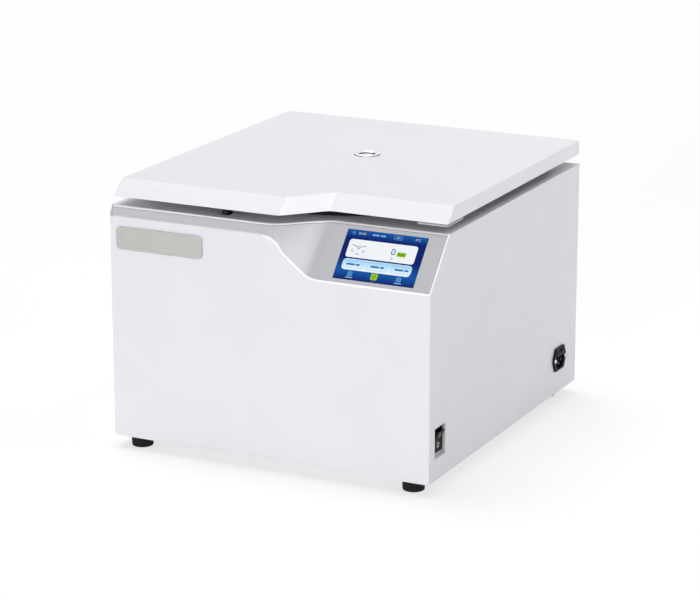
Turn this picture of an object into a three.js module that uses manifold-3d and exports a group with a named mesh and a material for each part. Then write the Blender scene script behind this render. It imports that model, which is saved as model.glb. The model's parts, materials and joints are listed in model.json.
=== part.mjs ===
// Benchtop centrifuge: a sheet-metal cabinet with a sloped touch panel, a hinged lid, and inside it a steel
// chamber, a motor on rubber mounts and a swing-out rotor with four buckets.
// Millimetres, +Z up. The origin is on the bench under the middle of the cabinet, and the front faces -Y.

import * as THREE from 'three';
import { mergeVertices } from 'three/addons/utils/BufferGeometryUtils.js';
import Module from 'manifold-3d';

const wasm = await Module();
wasm.setup();

// Clearances
const gap = 0.3; // between pieces that touch
const play = 0.5; // round pieces that slide or turn
const overrun = 6; // how far a cutting solid runs past what it cuts

// Facets on a full circle
const wideFacets = 44;
const midFacets = 28;
const cupFacets = 20;
const fineFacets = 12;

// Cabinet and its sheets
const cabinet = { width: 443, depth: 478, height: 302, sheet: 2, bend: 3, rim: 11 };
const foot = { height: 15.5, topRadius: 14, padRadius: 12.4, lip: 2.5, stud: 3, studTop: 8 };
const footPlace = { side: 29.5, front: 21, rear: 36 };
const tray = { wall: 2, rise: 18 };
const vent = { rows: 6, columns: 2, length: 70, slot: 3.4, pitch: 12, middleZ: 208.5, spread: 130 };

// Sloped bezel: a low strip at the left, a deep panel at the right, and a bend between them
const bezel = { thickness: 3, bend: 34 };
const strip = { drop: 15.4, setback: 7.5 };
const panel = { drop: 63.5, setback: 56 };
// where it bends, on the front face and on the deck, from the cabinet's right side
const frontBend = { first: 216, second: 164 };
const deckBend = { first: 215, second: 157 };
const bendSteps = 6;

// Name plate and touch screen
const plate = { width: 122.7, height: 29.5, thickness: 2.2, corner: 6, inset: 10.8, top: 24.6 };
const screen = { width: 107.6, height: 67.7, thickness: 3, fromSide: 79, border: 4, bodyDepth: 7 };
const board = { thickness: 1.6, width: 96, height: 56, post: 3, postLength: 4 };
const chips = { width: 14, depth: 14, height: 2.4, pitch: 26 };

// Chamber: the armour ring fills the room that the cabinet leaves it, and the bowl and its seal follow it
const guard = { side: 26, front: 76, rear: 14, wall: 5, below: 9 };
const bowl = { clearance: 7, sheet: 1.5, aboveMotor: 16, fillet: 18, rim: 9.5, neck: 34, neckLift: 6 };
const seal = { setback: 4, width: 16, crest: 9, lip: 4 };
const boot = { inner: 11, collar: 7, rise: 20, wall: 3 };

// Motor
const shaft = { radius: 8, tipRadius: 6, hubAbove: 61, thread: 10 };
const bearing = { outer: 17.5, height: 12, groove: 1.2 };
const motor = { radius: 58, wall: 5, bottom: 27.5, top: 139.5, flange: 91, flangeZ: 65.5, flangeHeight: 6 };
const stator = { inner: 29, height: 46 };
const armature = { radius: 28, height: 52 };
const damper = { count: 3, radius: 13, waist: 10.5, circle: 74, collar: 3 };

// Rotor
const head = { half: 112, chamfer: 27, thickness: 22, slotHalf: 30, slotEnd: 54, hub: 25, hubRise: 10 };
const trunnion = { circle: 95, radius: 3.2, reach: 5, dip: 2 };
const bucket = { radius: 26, wall: 3.5, above: 28, clearance: 13, rim: 1.5, rimHeight: 4, nose: 6 };
const nut = { radius: 14, height: 13, flats: 6, crown: 3 };

// Lid
const lid = { inset: 3.4, clearance: 11.2, height: 19, wall: 2, run: 20.5, rear: 6 };
const lidFront = { strip: 7, panel: 57, first: 207, second: 162, bend: 14 };
const liner = { sheet: 1.5, drop: 0.6 };
const port = { behind: 15, radius: 17, sleeve: 14, inner: 11, step: 8.5, rim: 1.5, lip: 1.2, pane: 3 };
const pad = { width: 42, depth: 49, thickness: 2.6, corner: 4, fromFront: 58 };

// Hinges
const hinge = { fromSide: 68, width: 52, knuckle: 4.2, pin: 2, sheet: 2, clearance: 4, knuckles: 5 };
const hingeAxis = { setback: 6, lift: 6 };

// Latch and lock
const hook = { x: 151.5, y: 32, width: 8, depth: 14, reach: 28, window: 8, nose: 3 };
const hookBase = { width: 22, depth: 20, sheet: 2 };
const slot = { margin: 3 };
const bolt = { length: 40, width: 6, height: 5, clear: 2, behind: 2, rise: 9 };
const lock = { wall: 5, floor: 6, length: 34, height: 40, relief: 4 };

// Mains rocker in its recess on the right side, above the recess's middle
const pocket = { y: 32.8, z: 62.8, width: 32.4, height: 40.4, wall: 1.2, depth: 5, floor: 2 };
const switchFrame = { width: 26, height: 33, flange: 2, bodyWidth: 24, bodyHeight: 31, raised: 2.1 };
const switchDepth = { body: 20, cavity: 14 };
const rocker = { width: 19.6, half: 12.6, pivot: 5, tip: 7.5, valley: 5, back: 3, room: 1.6 };
const rockerStub = { radius: 1.8, length: 1.2 };
const rockerTilt = THREE.MathUtils.degToRad(10);

// Mains inlet on the right side
const inlet = { fromBack: 61.5, z: 63.1, half: 20.8, topHalf: 14.4, height: 31.4, flange: 2.5, ear: 3.2 };
const inletBox = { depth: 30, side: 27.6 };
const socket = { width: 24.4, height: 16.2, depth: 17, bevel: 4.6, rise: 2.6, wall: 1.2 };
const pin = { thickness: 2, width: 4, spread: 7, offset: 2, recess: 1.5, tail: 5 };
const drawer = { width: 24, height: 7.4, depth: 24, proud: 0.7, grip: 2, gripDepth: 1.6 };
const fuse = { radius: 2.6, length: 20, behind: 12 };
const inletScrew = { spread: 17.4, shank: 1.6, length: 8, head: 3, headHeight: 1.6, hole: 1.9 };

// Electronics on the tray, and the mains wiring
const drive = { width: 170, depth: 54, fromSide: 30, y: 43, lift: 10, post: 3.5 };
const capacitor = { radius: 15, height: 34, count: 3, pitch: 34 };
const coil = { width: 34, depth: 30, height: 26 };
const sink = { width: 64, depth: 44, base: 5, fin: 2, fins: 7, height: 34, beside: 48, y: 40 };
const wire = { radius: 3, standoff: 13, drop: 4, steps: 26 };

// Derived places
const left = -cabinet.width / 2;
const right = cabinet.width / 2;
const front = -cabinet.depth / 2;
const back = cabinet.depth / 2;
const floorZ = foot.height;
const deckZ = floorZ + cabinet.height;
const deckUnder = deckZ - cabinet.sheet;
const trayTop = floorZ + tray.wall;
const innerHalf = cabinet.width / 2 - cabinet.sheet - gap;
const innerFront = front + cabinet.sheet + gap;
const lidBottom = deckZ + lid.clearance;
const lidTop = lidBottom + lid.height;
const linerBottom = lidBottom - liner.drop;
const hingeY = back - hingeAxis.setback;
const hingeZ = deckZ + hingeAxis.lift;

const guardOuter = Math.min(cabinet.width / 2 - cabinet.sheet - guard.side,
  (cabinet.depth - 2 * cabinet.sheet - guard.front - guard.rear) / 2);
const guardInner = guardOuter - guard.wall;
const spin = { x: 0, y: back - cabinet.sheet - guard.rear - guardOuter };
const bowlRadius = guardInner - bowl.clearance;
const bowlFloor = motor.top + bowl.aboveMotor;
const bowlRim = deckZ + gap + bowl.sheet;
const sealInner = bowlRadius + seal.setback;
const sealOuter = sealInner + seal.width;
const hubSeat = bowlFloor + shaft.hubAbove;
const headTop = hubSeat + head.hubRise + head.thickness;
const pivotZ = headTop - head.thickness / 2 + trunnion.dip;
const bucketBelow = bowlRadius - trunnion.circle - bucket.clearance;

const hookX = left + hook.x;
const hookY = front + hook.y;
const boltZ = linerBottom - gap - hook.reach + bolt.rise;
const boltTip = hookX - hook.width / 2 - bolt.clear;
const footPlaces = [
  ['foot_front_left', left + footPlace.side, front + footPlace.front],
  ['foot_front_right', right - footPlace.side, front + footPlace.front],
  ['foot_rear_left', left + footPlace.side, back - footPlace.rear],
  ['foot_rear_right', right - footPlace.side, back - footPlace.rear],
];

// Finishes
const finish = (color, roughness, metalness = 0) =>
  new THREE.MeshStandardMaterial({ color, roughness, metalness });
const whitePaint = finish(0xe4e3ea, 0.45);
const lidPaint = finish(0xecebf1, 0.42);
const greyPaint = finish(0xb9babf, 0.5);
const deckPaint = finish(0xdedde2, 0.5);
const silver = finish(0xb8b7b4, 0.35, 0.8);
const steel = finish(0xb4b6b9, 0.32, 0.9);
const darkSteel = finish(0x5a5c60, 0.45, 0.8);
const aluminium = finish(0xa9acb0, 0.38, 0.85);
const blackRubber = finish(0x17181a, 0.85);
const blackPlastic = finish(0x1c1d20, 0.5);
const greyPlastic = finish(0x8f9396, 0.55);
const lightPlastic = finish(0xd0d1d3, 0.5);
const screenGlass = finish(0x123a86, 0.12);
const clearGlass = finish(0xdfe6ea, 0.08);
const circuitGreen = finish(0x1d5a38, 0.6);
const cable = finish(0x202226, 0.7);

// Solids: geometries become Manifold solids for cuts and joins, and come back as geometries

function toSolid(geometry) {
  const bare = geometry.clone();
  bare.deleteAttribute('normal');
  bare.deleteAttribute('uv');
  const merged = mergeVertices(bare, 1e-4);
  const vertProperties = new Float32Array(merged.attributes.position.array);
  const triVerts = new Uint32Array(merged.index.array);
  return new wasm.Manifold(new wasm.Mesh({ numProp: 3, vertProperties, triVerts }));
}

function toGeometry(solid) {
  const mesh = solid.getMesh();
  const geometry = new THREE.BufferGeometry();
  geometry.setAttribute('position', new THREE.BufferAttribute(new Float32Array(mesh.vertProperties), 3));
  geometry.setIndex(new THREE.BufferAttribute(new Uint32Array(mesh.triVerts), 1));
  geometry.computeVertexNormals();
  return geometry;
}

const join = (...geometries) => toGeometry(geometries.map(toSolid).reduce((a, b) => a.add(b)));
const cut = (body, ...tools) => toGeometry(tools.map(toSolid).reduce((a, b) => a.subtract(b), toSolid(body)));
const common = (a, b) => toGeometry(toSolid(a).intersect(toSolid(b)));

// Shapes

function box(x0, x1, y0, y1, z0, z1) {
  const geometry = new THREE.BoxGeometry(x1 - x0, y1 - y0, z1 - z0);
  return geometry.translate((x0 + x1) / 2, (y0 + y1) / 2, (z0 + z1) / 2);
}

function rod(radius, z0, z1, x = 0, y = 0, facets = midFacets) {
  const geometry = new THREE.CylinderGeometry(radius, radius, z1 - z0, facets).rotateX(Math.PI / 2);
  return geometry.translate(x, y, (z0 + z1) / 2);
}

// A rod along X, for pins, screws and their holes
const crossRod = (radius, x0, x1, y, z, facets = fineFacets) =>
  rod(radius, x0, x1, 0, 0, facets).rotateY(Math.PI / 2).translate(0, y, z);

// A turned solid about a vertical axis, from [radius, height] points
function turned(points, facets = midFacets, x = 0, y = 0) {
  const profile = points.map(([r, z]) => new THREE.Vector2(r, z));
  const open = profile[0].x !== 0 || profile.at(-1).x !== 0;
  if (open) profile.push(profile[0].clone());
  let solid = toSolid(new THREE.LatheGeometry(profile, facets).rotateX(Math.PI / 2));
  if (solid.volume() < 0) solid = toSolid(flipped(toGeometry(solid)));
  return toGeometry(solid).translate(x, y, 0);
}

const ring = (inner, outer, z0, z1, facets, x, y) =>
  turned([[inner, z0], [outer, z0], [outer, z1], [inner, z1]], facets, x, y);

function arcPoints(radius, centre, fromAngle, toAngle, steps) {
  return Array.from({ length: steps + 1 }, (_, i) => {
    const angle = fromAngle + ((toAngle - fromAngle) * i) / steps;
    return [centre[0] + radius * Math.cos(angle), centre[1] + radius * Math.sin(angle)];
  });
}

function outline(points) {
  return new THREE.Shape(points.map(([x, y]) => new THREE.Vector2(x, y)));
}

function roundedShape(x0, x1, y0, y1, radius) {
  const shape = new THREE.Shape();
  shape.moveTo(x0 + radius, y0);
  shape.lineTo(x1 - radius, y0);
  shape.absarc(x1 - radius, y0 + radius, radius, -Math.PI / 2, 0);
  shape.lineTo(x1, y1 - radius);
  shape.absarc(x1 - radius, y1 - radius, radius, 0, Math.PI / 2);
  shape.lineTo(x0 + radius, y1);
  shape.absarc(x0 + radius, y1 - radius, radius, Math.PI / 2, Math.PI);
  shape.lineTo(x0, y0 + radius);
  shape.absarc(x0 + radius, y0 + radius, radius, Math.PI, 1.5 * Math.PI);
  return shape;
}

// Extrusions: a shape drawn from above, from the front (x, z) or from the right side (y, z)
const extrude = (shape, depth, curveSegments = 4) =>
  new THREE.ExtrudeGeometry(shape, { depth, bevelEnabled: false, curveSegments });
const flat = (shape, z0, z1, curveSegments) => extrude(shape, z1 - z0, curveSegments).translate(0, 0, z0);
const fromFront = (shape, yNear, yFar, curveSegments) =>
  extrude(shape, yFar - yNear, curveSegments).rotateX(Math.PI / 2).translate(0, yFar, 0);
const sideBasis = new THREE.Matrix4().makeBasis(
  new THREE.Vector3(0, 1, 0), new THREE.Vector3(0, 0, 1), new THREE.Vector3(1, 0, 0));
const fromSide = (shape, x0, x1, curveSegments) =>
  extrude(shape, x1 - x0, curveSegments).applyMatrix4(sideBasis).translate(x0, 0, 0);

function flipped(geometry) {
  const index = geometry.index.array.slice();
  for (let i = 0; i < index.length; i += 3) [index[i], index[i + 1]] = [index[i + 1], index[i]];
  return geometry.clone().setIndex(new THREE.BufferAttribute(index, 1));
}

// A closed skin through rings of equal point counts, capped at both ends by the given triangles
function loft(rings, cap) {
  const count = rings[0].length;
  const index = [];
  for (let r = 0; r + 1 < rings.length; r += 1) {
    for (let i = 0; i < count; i += 1) {
      const next = (i + 1) % count;
      const [a, b, c, d] = [r * count + i, r * count + next, (r + 1) * count + next, (r + 1) * count + i];
      index.push(a, b, c, a, c, d);
    }
  }
  const last = (rings.length - 1) * count;
  for (const [a, b, c] of cap) {
    index.push(a, c, b);
    index.push(last + a, last + b, last + c);
  }
  const geometry = new THREE.BufferGeometry();
  const positions = rings.flat().flatMap((p) => [p.x, p.y, p.z]);
  geometry.setAttribute('position', new THREE.Float32BufferAttribute(positions, 3));
  geometry.setIndex(index);
  return toSolid(geometry).volume() < 0 ? flipped(geometry) : geometry;
}

// The assembly

const centrifuge = new THREE.Group();
centrifuge.name = 'benchtop_centrifuge';

function add(name, geometry, material, parent = centrifuge) {
  const mesh = new THREE.Mesh(geometry, material.clone());
  mesh.name = name;
  parent.add(mesh);
  return mesh;
}

// Sloped bezel surface, ruled between an S-curve on the front face and one on the deck

function bendCurve(xLeft, xRight, valueLeft, valueRight) {
  const start = new THREE.Vector2(left - overrun, valueLeft);
  const first = new THREE.Vector2(xLeft, valueLeft);
  const second = new THREE.Vector2(xRight, valueRight);
  const end = new THREE.Vector2(right + overrun, valueRight);
  const turn = second.clone().sub(first).angle();
  const reach = bezel.bend * Math.abs(Math.tan(Math.min(turn, 2 * Math.PI - turn) / 2));
  const along = second.clone().sub(first).normalize().multiplyScalar(reach);
  const level = new THREE.Vector2(reach, 0);
  const bendA = new THREE.QuadraticBezierCurve(first.clone().sub(level), first, first.clone().add(along));
  const bendB = new THREE.QuadraticBezierCurve(second.clone().sub(along), second, second.clone().add(level));
  return [start, ...bendA.getPoints(bendSteps), ...bendB.getPoints(bendSteps), end];
}

const panelSlope = Math.atan2(panel.drop, panel.setback);
const frontLine = bendCurve(right - frontBend.first, right - frontBend.second, strip.drop, panel.drop);
const deckLine = bendCurve(right - deckBend.first, right - deckBend.second, strip.setback, panel.setback);

// Everything in front of and above the bezel's surface, with that surface moved inwards by a depth
function noseCutter(depth) {
  const reach = overrun + panel.drop / 4;
  const inward = new THREE.Vector3(0, Math.sin(panelSlope), -Math.cos(panelSlope)).multiplyScalar(depth);
  const rings = frontLine.map((low, i) => {
    const lowPoint = new THREE.Vector3(low.x, front, deckZ - low.y).add(inward);
    const highPoint = new THREE.Vector3(deckLine[i].x, front + deckLine[i].y, deckZ).add(inward);
    const along = highPoint.clone().sub(lowPoint).normalize().multiplyScalar(reach);
    lowPoint.sub(along);
    highPoint.add(along);
    const corner = new THREE.Vector3((low.x + deckLine[i].x) / 2, lowPoint.y, highPoint.z);
    return [lowPoint, highPoint, corner];
  });
  return loft(rings, [[0, 1, 2]]);
}

// Cabinet shell: front and sides in one bend, with rims under the deck and cut-outs on the right side

const pocketY = front + pocket.y;
const inletY = back - inlet.fromBack;

function cabinetShell() {
  const outer = new THREE.Shape();
  outer.moveTo(left, back);
  outer.lineTo(left, front + cabinet.bend);
  outer.absarc(left + cabinet.bend, front + cabinet.bend, cabinet.bend, Math.PI, 1.5 * Math.PI);
  outer.lineTo(right - cabinet.bend, front);
  outer.absarc(right - cabinet.bend, front + cabinet.bend, cabinet.bend, -Math.PI / 2, 0);
  outer.lineTo(right, back);
  const inner = box(left + cabinet.sheet, right - cabinet.sheet, front + cabinet.sheet, back + overrun,
    floorZ - overrun, deckZ + overrun);
  const rims = [-1, 1].map((side) => {
    const wall = side * (cabinet.width / 2 - cabinet.sheet / 2);
    const edge = side * (cabinet.width / 2 - cabinet.sheet - cabinet.rim);
    return box(Math.min(wall, edge), Math.max(wall, edge), front + panel.setback, back - cabinet.sheet - gap,
      deckUnder - gap - cabinet.sheet, deckUnder - gap);
  });
  const pocketHole = box(right - overrun, right + overrun,
    pocketY - pocket.width / 2 - gap, pocketY + pocket.width / 2 + gap,
    pocket.z - pocket.height / 2 - gap, pocket.z + pocket.height / 2 + gap);
  const inletHole = box(right - overrun, right + overrun,
    inletY - inletBox.side / 2 - gap, inletY + inletBox.side / 2 + gap,
    inlet.z - inletBox.side / 2 - gap, inlet.z + inletBox.side / 2 + gap);
  const screwHoles = [-1, 1].map((side) => crossRod(inletScrew.hole, right - overrun, right + overrun,
    inletY + side * inletScrew.spread, inlet.z));
  const bezelRoom = noseCutter(bezel.thickness + gap);
  const shell = join(cut(flat(outer, floorZ, deckZ), inner), ...rims.map((rim) => cut(rim, bezelRoom)));
  return cut(shell, noseCutter(0), pocketHole, inletHole, ...screwHoles);
}

function topDeck() {
  const sheet = box(-innerHalf, innerHalf, innerFront, back, deckUnder, deckZ);
  const hole = rod(bowlRadius + bowl.sheet + play, deckUnder - overrun, deckZ + overrun, spin.x, spin.y,
    wideFacets);
  const latchSlot = box(hookX - hook.width / 2 - slot.margin, hookX + hook.width / 2 + slot.margin,
    hookY - hook.depth / 2 - slot.margin, hookY + hook.depth / 2 + slot.margin,
    deckUnder - overrun, deckZ + overrun);
  return cut(sheet, noseCutter(0), hole, latchSlot);
}

// The panel's own frame: x across, y up the slope, z out of the surface
const panelFrame = new THREE.Group();
panelFrame.position.set(right - screen.fromSide, front + panel.setback / 2, deckZ - panel.drop / 2);
panelFrame.rotation.x = panelSlope;
panelFrame.updateMatrix();

function controlBezel() {
  const slab = cut(noseCutter(bezel.thickness), noseCutter(0));
  const room = box(-innerHalf, innerHalf, innerFront, back, floorZ, deckUnder - gap);
  const opening = box(-screen.width / 2 - gap, screen.width / 2 + gap,
    -screen.height / 2 - gap, screen.height / 2 + gap,
    -bezel.thickness - overrun, overrun).applyMatrix4(panelFrame.matrix);
  return cut(common(slab, room), opening);
}

function rearPanel() {
  const shape = outline([[-innerHalf, floorZ], [innerHalf, floorZ], [innerHalf, deckUnder - gap],
    [-innerHalf, deckUnder - gap]]);
  const panel = fromFront(shape, back - cabinet.sheet, back);
  const slots = [];
  for (let column = 0; column < vent.columns; column += 1) {
    const x = (column - (vent.columns - 1) / 2) * vent.spread;
    for (let row = 0; row < vent.rows; row += 1) {
      const z = vent.middleZ + (row - (vent.rows - 1) / 2) * vent.pitch;
      const hole = roundedShape(x - vent.length / 2, x + vent.length / 2,
        z - vent.slot / 2, z + vent.slot / 2, vent.slot / 2);
      slots.push(fromFront(hole, back - overrun, back + overrun, 2));
    }
  }
  return cut(panel, ...slots);
}

function baseTray() {
  const rear = back - cabinet.sheet - gap;
  const body = box(-innerHalf, innerHalf, innerFront, rear, floorZ, trayTop + tray.rise);
  const room = box(-innerHalf + tray.wall, innerHalf - tray.wall, innerFront + tray.wall, rear - tray.wall,
    trayTop, trayTop + tray.rise + overrun);
  const studHoles = footPlaces.map(([, x, y]) =>
    rod(foot.stud + gap, floorZ - overrun, trayTop + overrun, x, y, fineFacets));
  return cut(body, room, ...studHoles);
}

function footGeometry(x, y) {
  const top = floorZ - gap;
  return turned([[0, 0], [foot.padRadius, 0], [foot.padRadius + gap, gap], [foot.topRadius, top - foot.lip],
    [foot.topRadius, top], [foot.stud, top], [foot.stud, floorZ + foot.studTop], [0, floorZ + foot.studTop]],
  cupFacets, x, y);
}

add('cabinet_shell', cabinetShell(), whitePaint);
add('base_tray', baseTray(), steel);
add('rear_panel', rearPanel(), whitePaint);
add('top_deck', topDeck(), deckPaint);
add('control_bezel', controlBezel(), greyPaint);
for (const [name, x, y] of footPlaces) add(name, footGeometry(x, y), blackRubber);

const plateTop = deckZ - plate.top;
const plateShape = roundedShape(left + plate.inset, left + plate.inset + plate.width, plateTop - plate.height,
  plateTop, plate.corner);
add('name_plate', fromFront(plateShape, front - gap - plate.thickness, front - gap, 6), silver);

// Touch screen and its boards, built in the panel's frame

centrifuge.add(panelFrame);
const moduleTop = -bezel.thickness - gap;
const moduleBottom = moduleTop - screen.bodyDepth;
const boardTop = moduleBottom - gap - board.postLength;

function displayModule() {
  return box(-screen.width / 2 - screen.border, screen.width / 2 + screen.border,
    -screen.height / 2 - screen.border, screen.height / 2 + screen.border, moduleBottom, moduleTop);
}

function controlBoard() {
  const sheet = box(-board.width / 2, board.width / 2, -board.height / 2, board.height / 2,
    boardTop - board.thickness, boardTop);
  const posts = [[-1, -1], [1, -1], [1, 1], [-1, 1]].map(([sx, sy]) =>
    rod(board.post, boardTop - board.thickness / 2, moduleBottom - gap,
      sx * (board.width / 2 - 2 * board.post), sy * (board.height / 2 - 2 * board.post), fineFacets));
  const parts = [-1, 0, 1].map((step) => box(step * chips.pitch - chips.width / 2,
    step * chips.pitch + chips.width / 2, -chips.depth / 2, chips.depth / 2,
    boardTop - board.thickness - chips.height, boardTop - board.thickness / 2));
  return join(sheet, ...posts, ...parts);
}

add('display_glass', box(-screen.width / 2, screen.width / 2, -screen.height / 2, screen.height / 2,
  -screen.thickness, 0), screenGlass, panelFrame);
add('display_module', displayModule(), blackPlastic, panelFrame);
add('control_board', controlBoard(), circuitGreen, panelFrame);

// Chamber: bowl, seal, armour ring and the boot round the shaft

function chamberBowl() {
  const { sheet, fillet, neck } = bowl;
  const centre = [bowlRadius - fillet, bowlFloor + sheet + fillet];
  const inside = arcPoints(fillet, centre, -Math.PI / 2, 0, 4);
  const outside = arcPoints(fillet + sheet, centre, 0, -Math.PI / 2, 4);
  return turned([[neck, bowlFloor + sheet + bowl.neckLift], [neck + sheet, bowlFloor + sheet + bowl.neckLift],
    [neck + sheet, bowlFloor + sheet], ...inside, [bowlRadius, bowlRim], [bowlRadius + bowl.rim, bowlRim],
    [bowlRadius + bowl.rim, bowlRim - sheet], [bowlRadius + sheet, bowlRim - sheet], ...outside,
    [neck, bowlFloor]],
  wideFacets, spin.x, spin.y);
}

function chamberSeal() {
  const top = linerBottom - gap;
  const middle = (sealInner + sealOuter) / 2;
  const over = bowlRim + gap;
  const outerCrest = arcPoints(seal.lip, [middle + seal.crest / 2, top - seal.lip], 0, Math.PI / 2, 2);
  const innerCrest = arcPoints(seal.lip, [middle - seal.crest / 2, top - seal.lip], Math.PI / 2, Math.PI, 2);
  const clip = bowlRadius + bowl.rim + gap;
  return turned([[sealInner, over], [clip, over], [clip, deckZ + gap], [sealOuter, deckZ + gap],
    [sealOuter, over + gap], ...outerCrest, ...innerCrest, [sealInner, over + gap]],
  wideFacets, spin.x, spin.y);
}

function shaftBoot() {
  const seat = bowlFloor + bowl.sheet + gap;
  const clip = bowl.neck + bowl.sheet + gap;
  const lipTop = seat + bowl.neckLift + gap;
  return turned([[clip, seat], [clip + boot.wall, seat], [clip + boot.wall, lipTop + boot.wall],
    [boot.inner + boot.collar, seat + boot.rise], [boot.inner + boot.wall, seat + boot.rise + boot.wall],
    [boot.inner, seat + boot.rise + boot.wall], [boot.inner, seat + boot.rise - boot.wall],
    [clip - 2 * boot.wall, lipTop], [clip, lipTop]], midFacets, spin.x, spin.y);
}

add('chamber_bowl', chamberBowl(), steel);
add('chamber_seal', chamberSeal(), blackRubber);
add('guard_ring', ring(guardInner, guardOuter, trayTop + gap, deckZ - guard.below, wideFacets,
  spin.x, spin.y), darkSteel);
add('shaft_boot', shaftBoot(), blackRubber);

// Motor: a flanged housing on three rubber mounts, with bearings in its ends

const housingFloor = motor.bottom + motor.wall;
const housingRoof = motor.top - motor.wall;
const coreZ = (housingFloor + housingRoof) / 2;

function motorHousing() {
  const { radius, wall, flange, flangeZ, flangeHeight } = motor;
  const bore = bearing.outer + gap;
  const boss = bore + wall;
  const inner = radius - wall;
  const shaftHole = shaft.radius + gap + bearing.groove;
  return turned([[0, motor.bottom], [radius, motor.bottom], [radius, flangeZ], [flange, flangeZ],
    [flange, flangeZ + flangeHeight], [radius, flangeZ + flangeHeight], [radius, motor.top],
    [shaftHole, motor.top], [shaftHole, housingRoof], [bore, housingRoof],
    [bore, housingRoof - bearing.height], [boss, housingRoof - bearing.height],
    [boss, housingRoof], [inner, housingRoof], [inner, housingFloor],
    [boss, housingFloor], [boss, housingFloor + bearing.height], [bore, housingFloor + bearing.height],
    [bore, housingFloor], [0, housingFloor]], midFacets, spin.x, spin.y);
}

function bearingRing(z0) {
  const inner = shaft.radius + gap;
  const middle = (inner + bearing.outer) / 2;
  const z1 = z0 + bearing.height - 2 * gap;
  const dish = bearing.groove;
  return turned([[inner, z0], [bearing.outer, z0], [bearing.outer, z1], [middle + dish, z1],
    [middle, z1 - dish], [middle - dish, z1], [inner, z1]], cupFacets, spin.x, spin.y);
}

function damperGeometry(angle) {
  const low = trayTop + gap;
  const high = motor.flangeZ - gap;
  const x = spin.x + damper.circle * Math.cos(angle);
  const y = spin.y + damper.circle * Math.sin(angle);
  return turned([[0, low], [damper.radius, low], [damper.radius, low + damper.collar],
    [damper.waist, low + 2 * damper.collar], [damper.waist, high - 2 * damper.collar],
    [damper.radius, high - damper.collar], [damper.radius, high], [0, high]], fineFacets, x, y);
}

add('motor_housing', motorHousing(), aluminium);
add('motor_stator', ring(stator.inner, motor.radius - motor.wall - gap, coreZ - stator.height / 2,
  coreZ + stator.height / 2, midFacets, spin.x, spin.y), darkSteel);
add('upper_bearing', bearingRing(housingRoof - bearing.height + gap), steel);
add('lower_bearing', bearingRing(housingFloor + gap), steel);
for (let i = 0; i < damper.count; i += 1) {
  const angle = (2 * Math.PI * (i + 1 / 4)) / damper.count;
  add(`damper_${i + 1}`, damperGeometry(angle), blackRubber);
}

// Turning parts: shaft, armature, cross-shaped head, nut and four buckets

const threadTop = headTop + head.hubRise + shaft.thread;

function motorShaft() {
  const bottom = housingFloor + 2 * gap;
  return turned([[0, bottom], [shaft.radius, bottom], [shaft.radius, hubSeat],
    [shaft.tipRadius, headTop], [shaft.tipRadius, threadTop], [0, threadTop]], cupFacets, spin.x, spin.y);
}

// The head is drawn about its own axis: a chamfered square with a slot in the middle of each side
function rotorHead() {
  const { half, chamfer, slotHalf, slotEnd, hub } = head;
  const bottom = headTop - head.thickness;
  const side = [[slotHalf, -slotEnd], [slotHalf, -half], [half - chamfer, -half], [half, -half + chamfer],
    [half, -slotHalf], [slotEnd, -slotHalf]];
  const points = [0, 1, 2, 3].flatMap((turn) => side.map(([x, y]) => {
    const p = new THREE.Vector2(x, y).rotateAround(new THREE.Vector2(), (turn * Math.PI) / 2);
    return [p.x, p.y];
  }));
  const bodyParts = join(flat(outline(points), bottom, headTop),
    rod(hub, hubSeat, headTop + head.hubRise));
  const grooveRadius = trunnion.radius + play;
  const grooves = [0, 1, 2, 3].map((turn) => {
    const reach = slotHalf + trunnion.reach + play;
    const bore = crossRod(grooveRadius, -reach, reach, -trunnion.circle, pivotZ);
    const mouth = box(-reach, reach, -trunnion.circle - grooveRadius, -trunnion.circle + grooveRadius, pivotZ,
      headTop + overrun);
    return join(bore, mouth).rotateZ((turn * Math.PI) / 2);
  });
  const bore = turned([[0, hubSeat - overrun], [shaft.radius + gap, hubSeat - overrun],
    [shaft.radius + gap, hubSeat], [shaft.tipRadius + gap, headTop],
    [shaft.tipRadius + gap, headTop + head.hubRise + overrun], [0, headTop + head.hubRise + overrun]],
  cupFacets);
  return cut(bodyParts, bore, ...grooves).translate(spin.x, spin.y, 0);
}

function rotorNut() {
  const seat = headTop + head.hubRise + gap;
  const top = seat + nut.height;
  const shoulder = top - nut.crown;
  const hexagon = rod(nut.radius, seat, shoulder, 0, 0, nut.flats);
  const crown = turned([[0, shoulder - overrun], [nut.radius - nut.crown, shoulder - overrun],
    [nut.radius - nut.crown, shoulder], [nut.radius - 2 * nut.crown, top + nut.crown], [0, top + nut.crown]],
  fineFacets);
  const thread = rod(shaft.tipRadius + gap, seat - overrun, threadTop + gap, 0, 0, cupFacets);
  return cut(join(hexagon, crown), thread).translate(spin.x, spin.y, 0);
}

// A bucket about its own pivot, hanging, with its trunnions along Y
function bucketGeometry() {
  const { radius, wall, above, rim, rimHeight, nose } = bucket;
  const below = bucketBelow;
  const inner = radius - wall;
  const cup = turned([[0, -below], [radius - nose, -below], [radius, -below + nose],
    [radius, above - rimHeight], [radius + rim, above - rimHeight], [radius + rim, above], [inner, above],
    [inner, -below + wall + nose], [inner - nose, -below + wall], [0, -below + wall]], cupFacets);
  const reach = head.slotHalf + trunnion.reach;
  const pins = [-1, 1].map((side) => {
    const stub = rod(trunnion.radius, (inner + radius) / 2, reach, 0, 0, fineFacets);
    return stub.rotateX((side * Math.PI) / 2);
  });
  return join(cup, ...pins);
}

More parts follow.
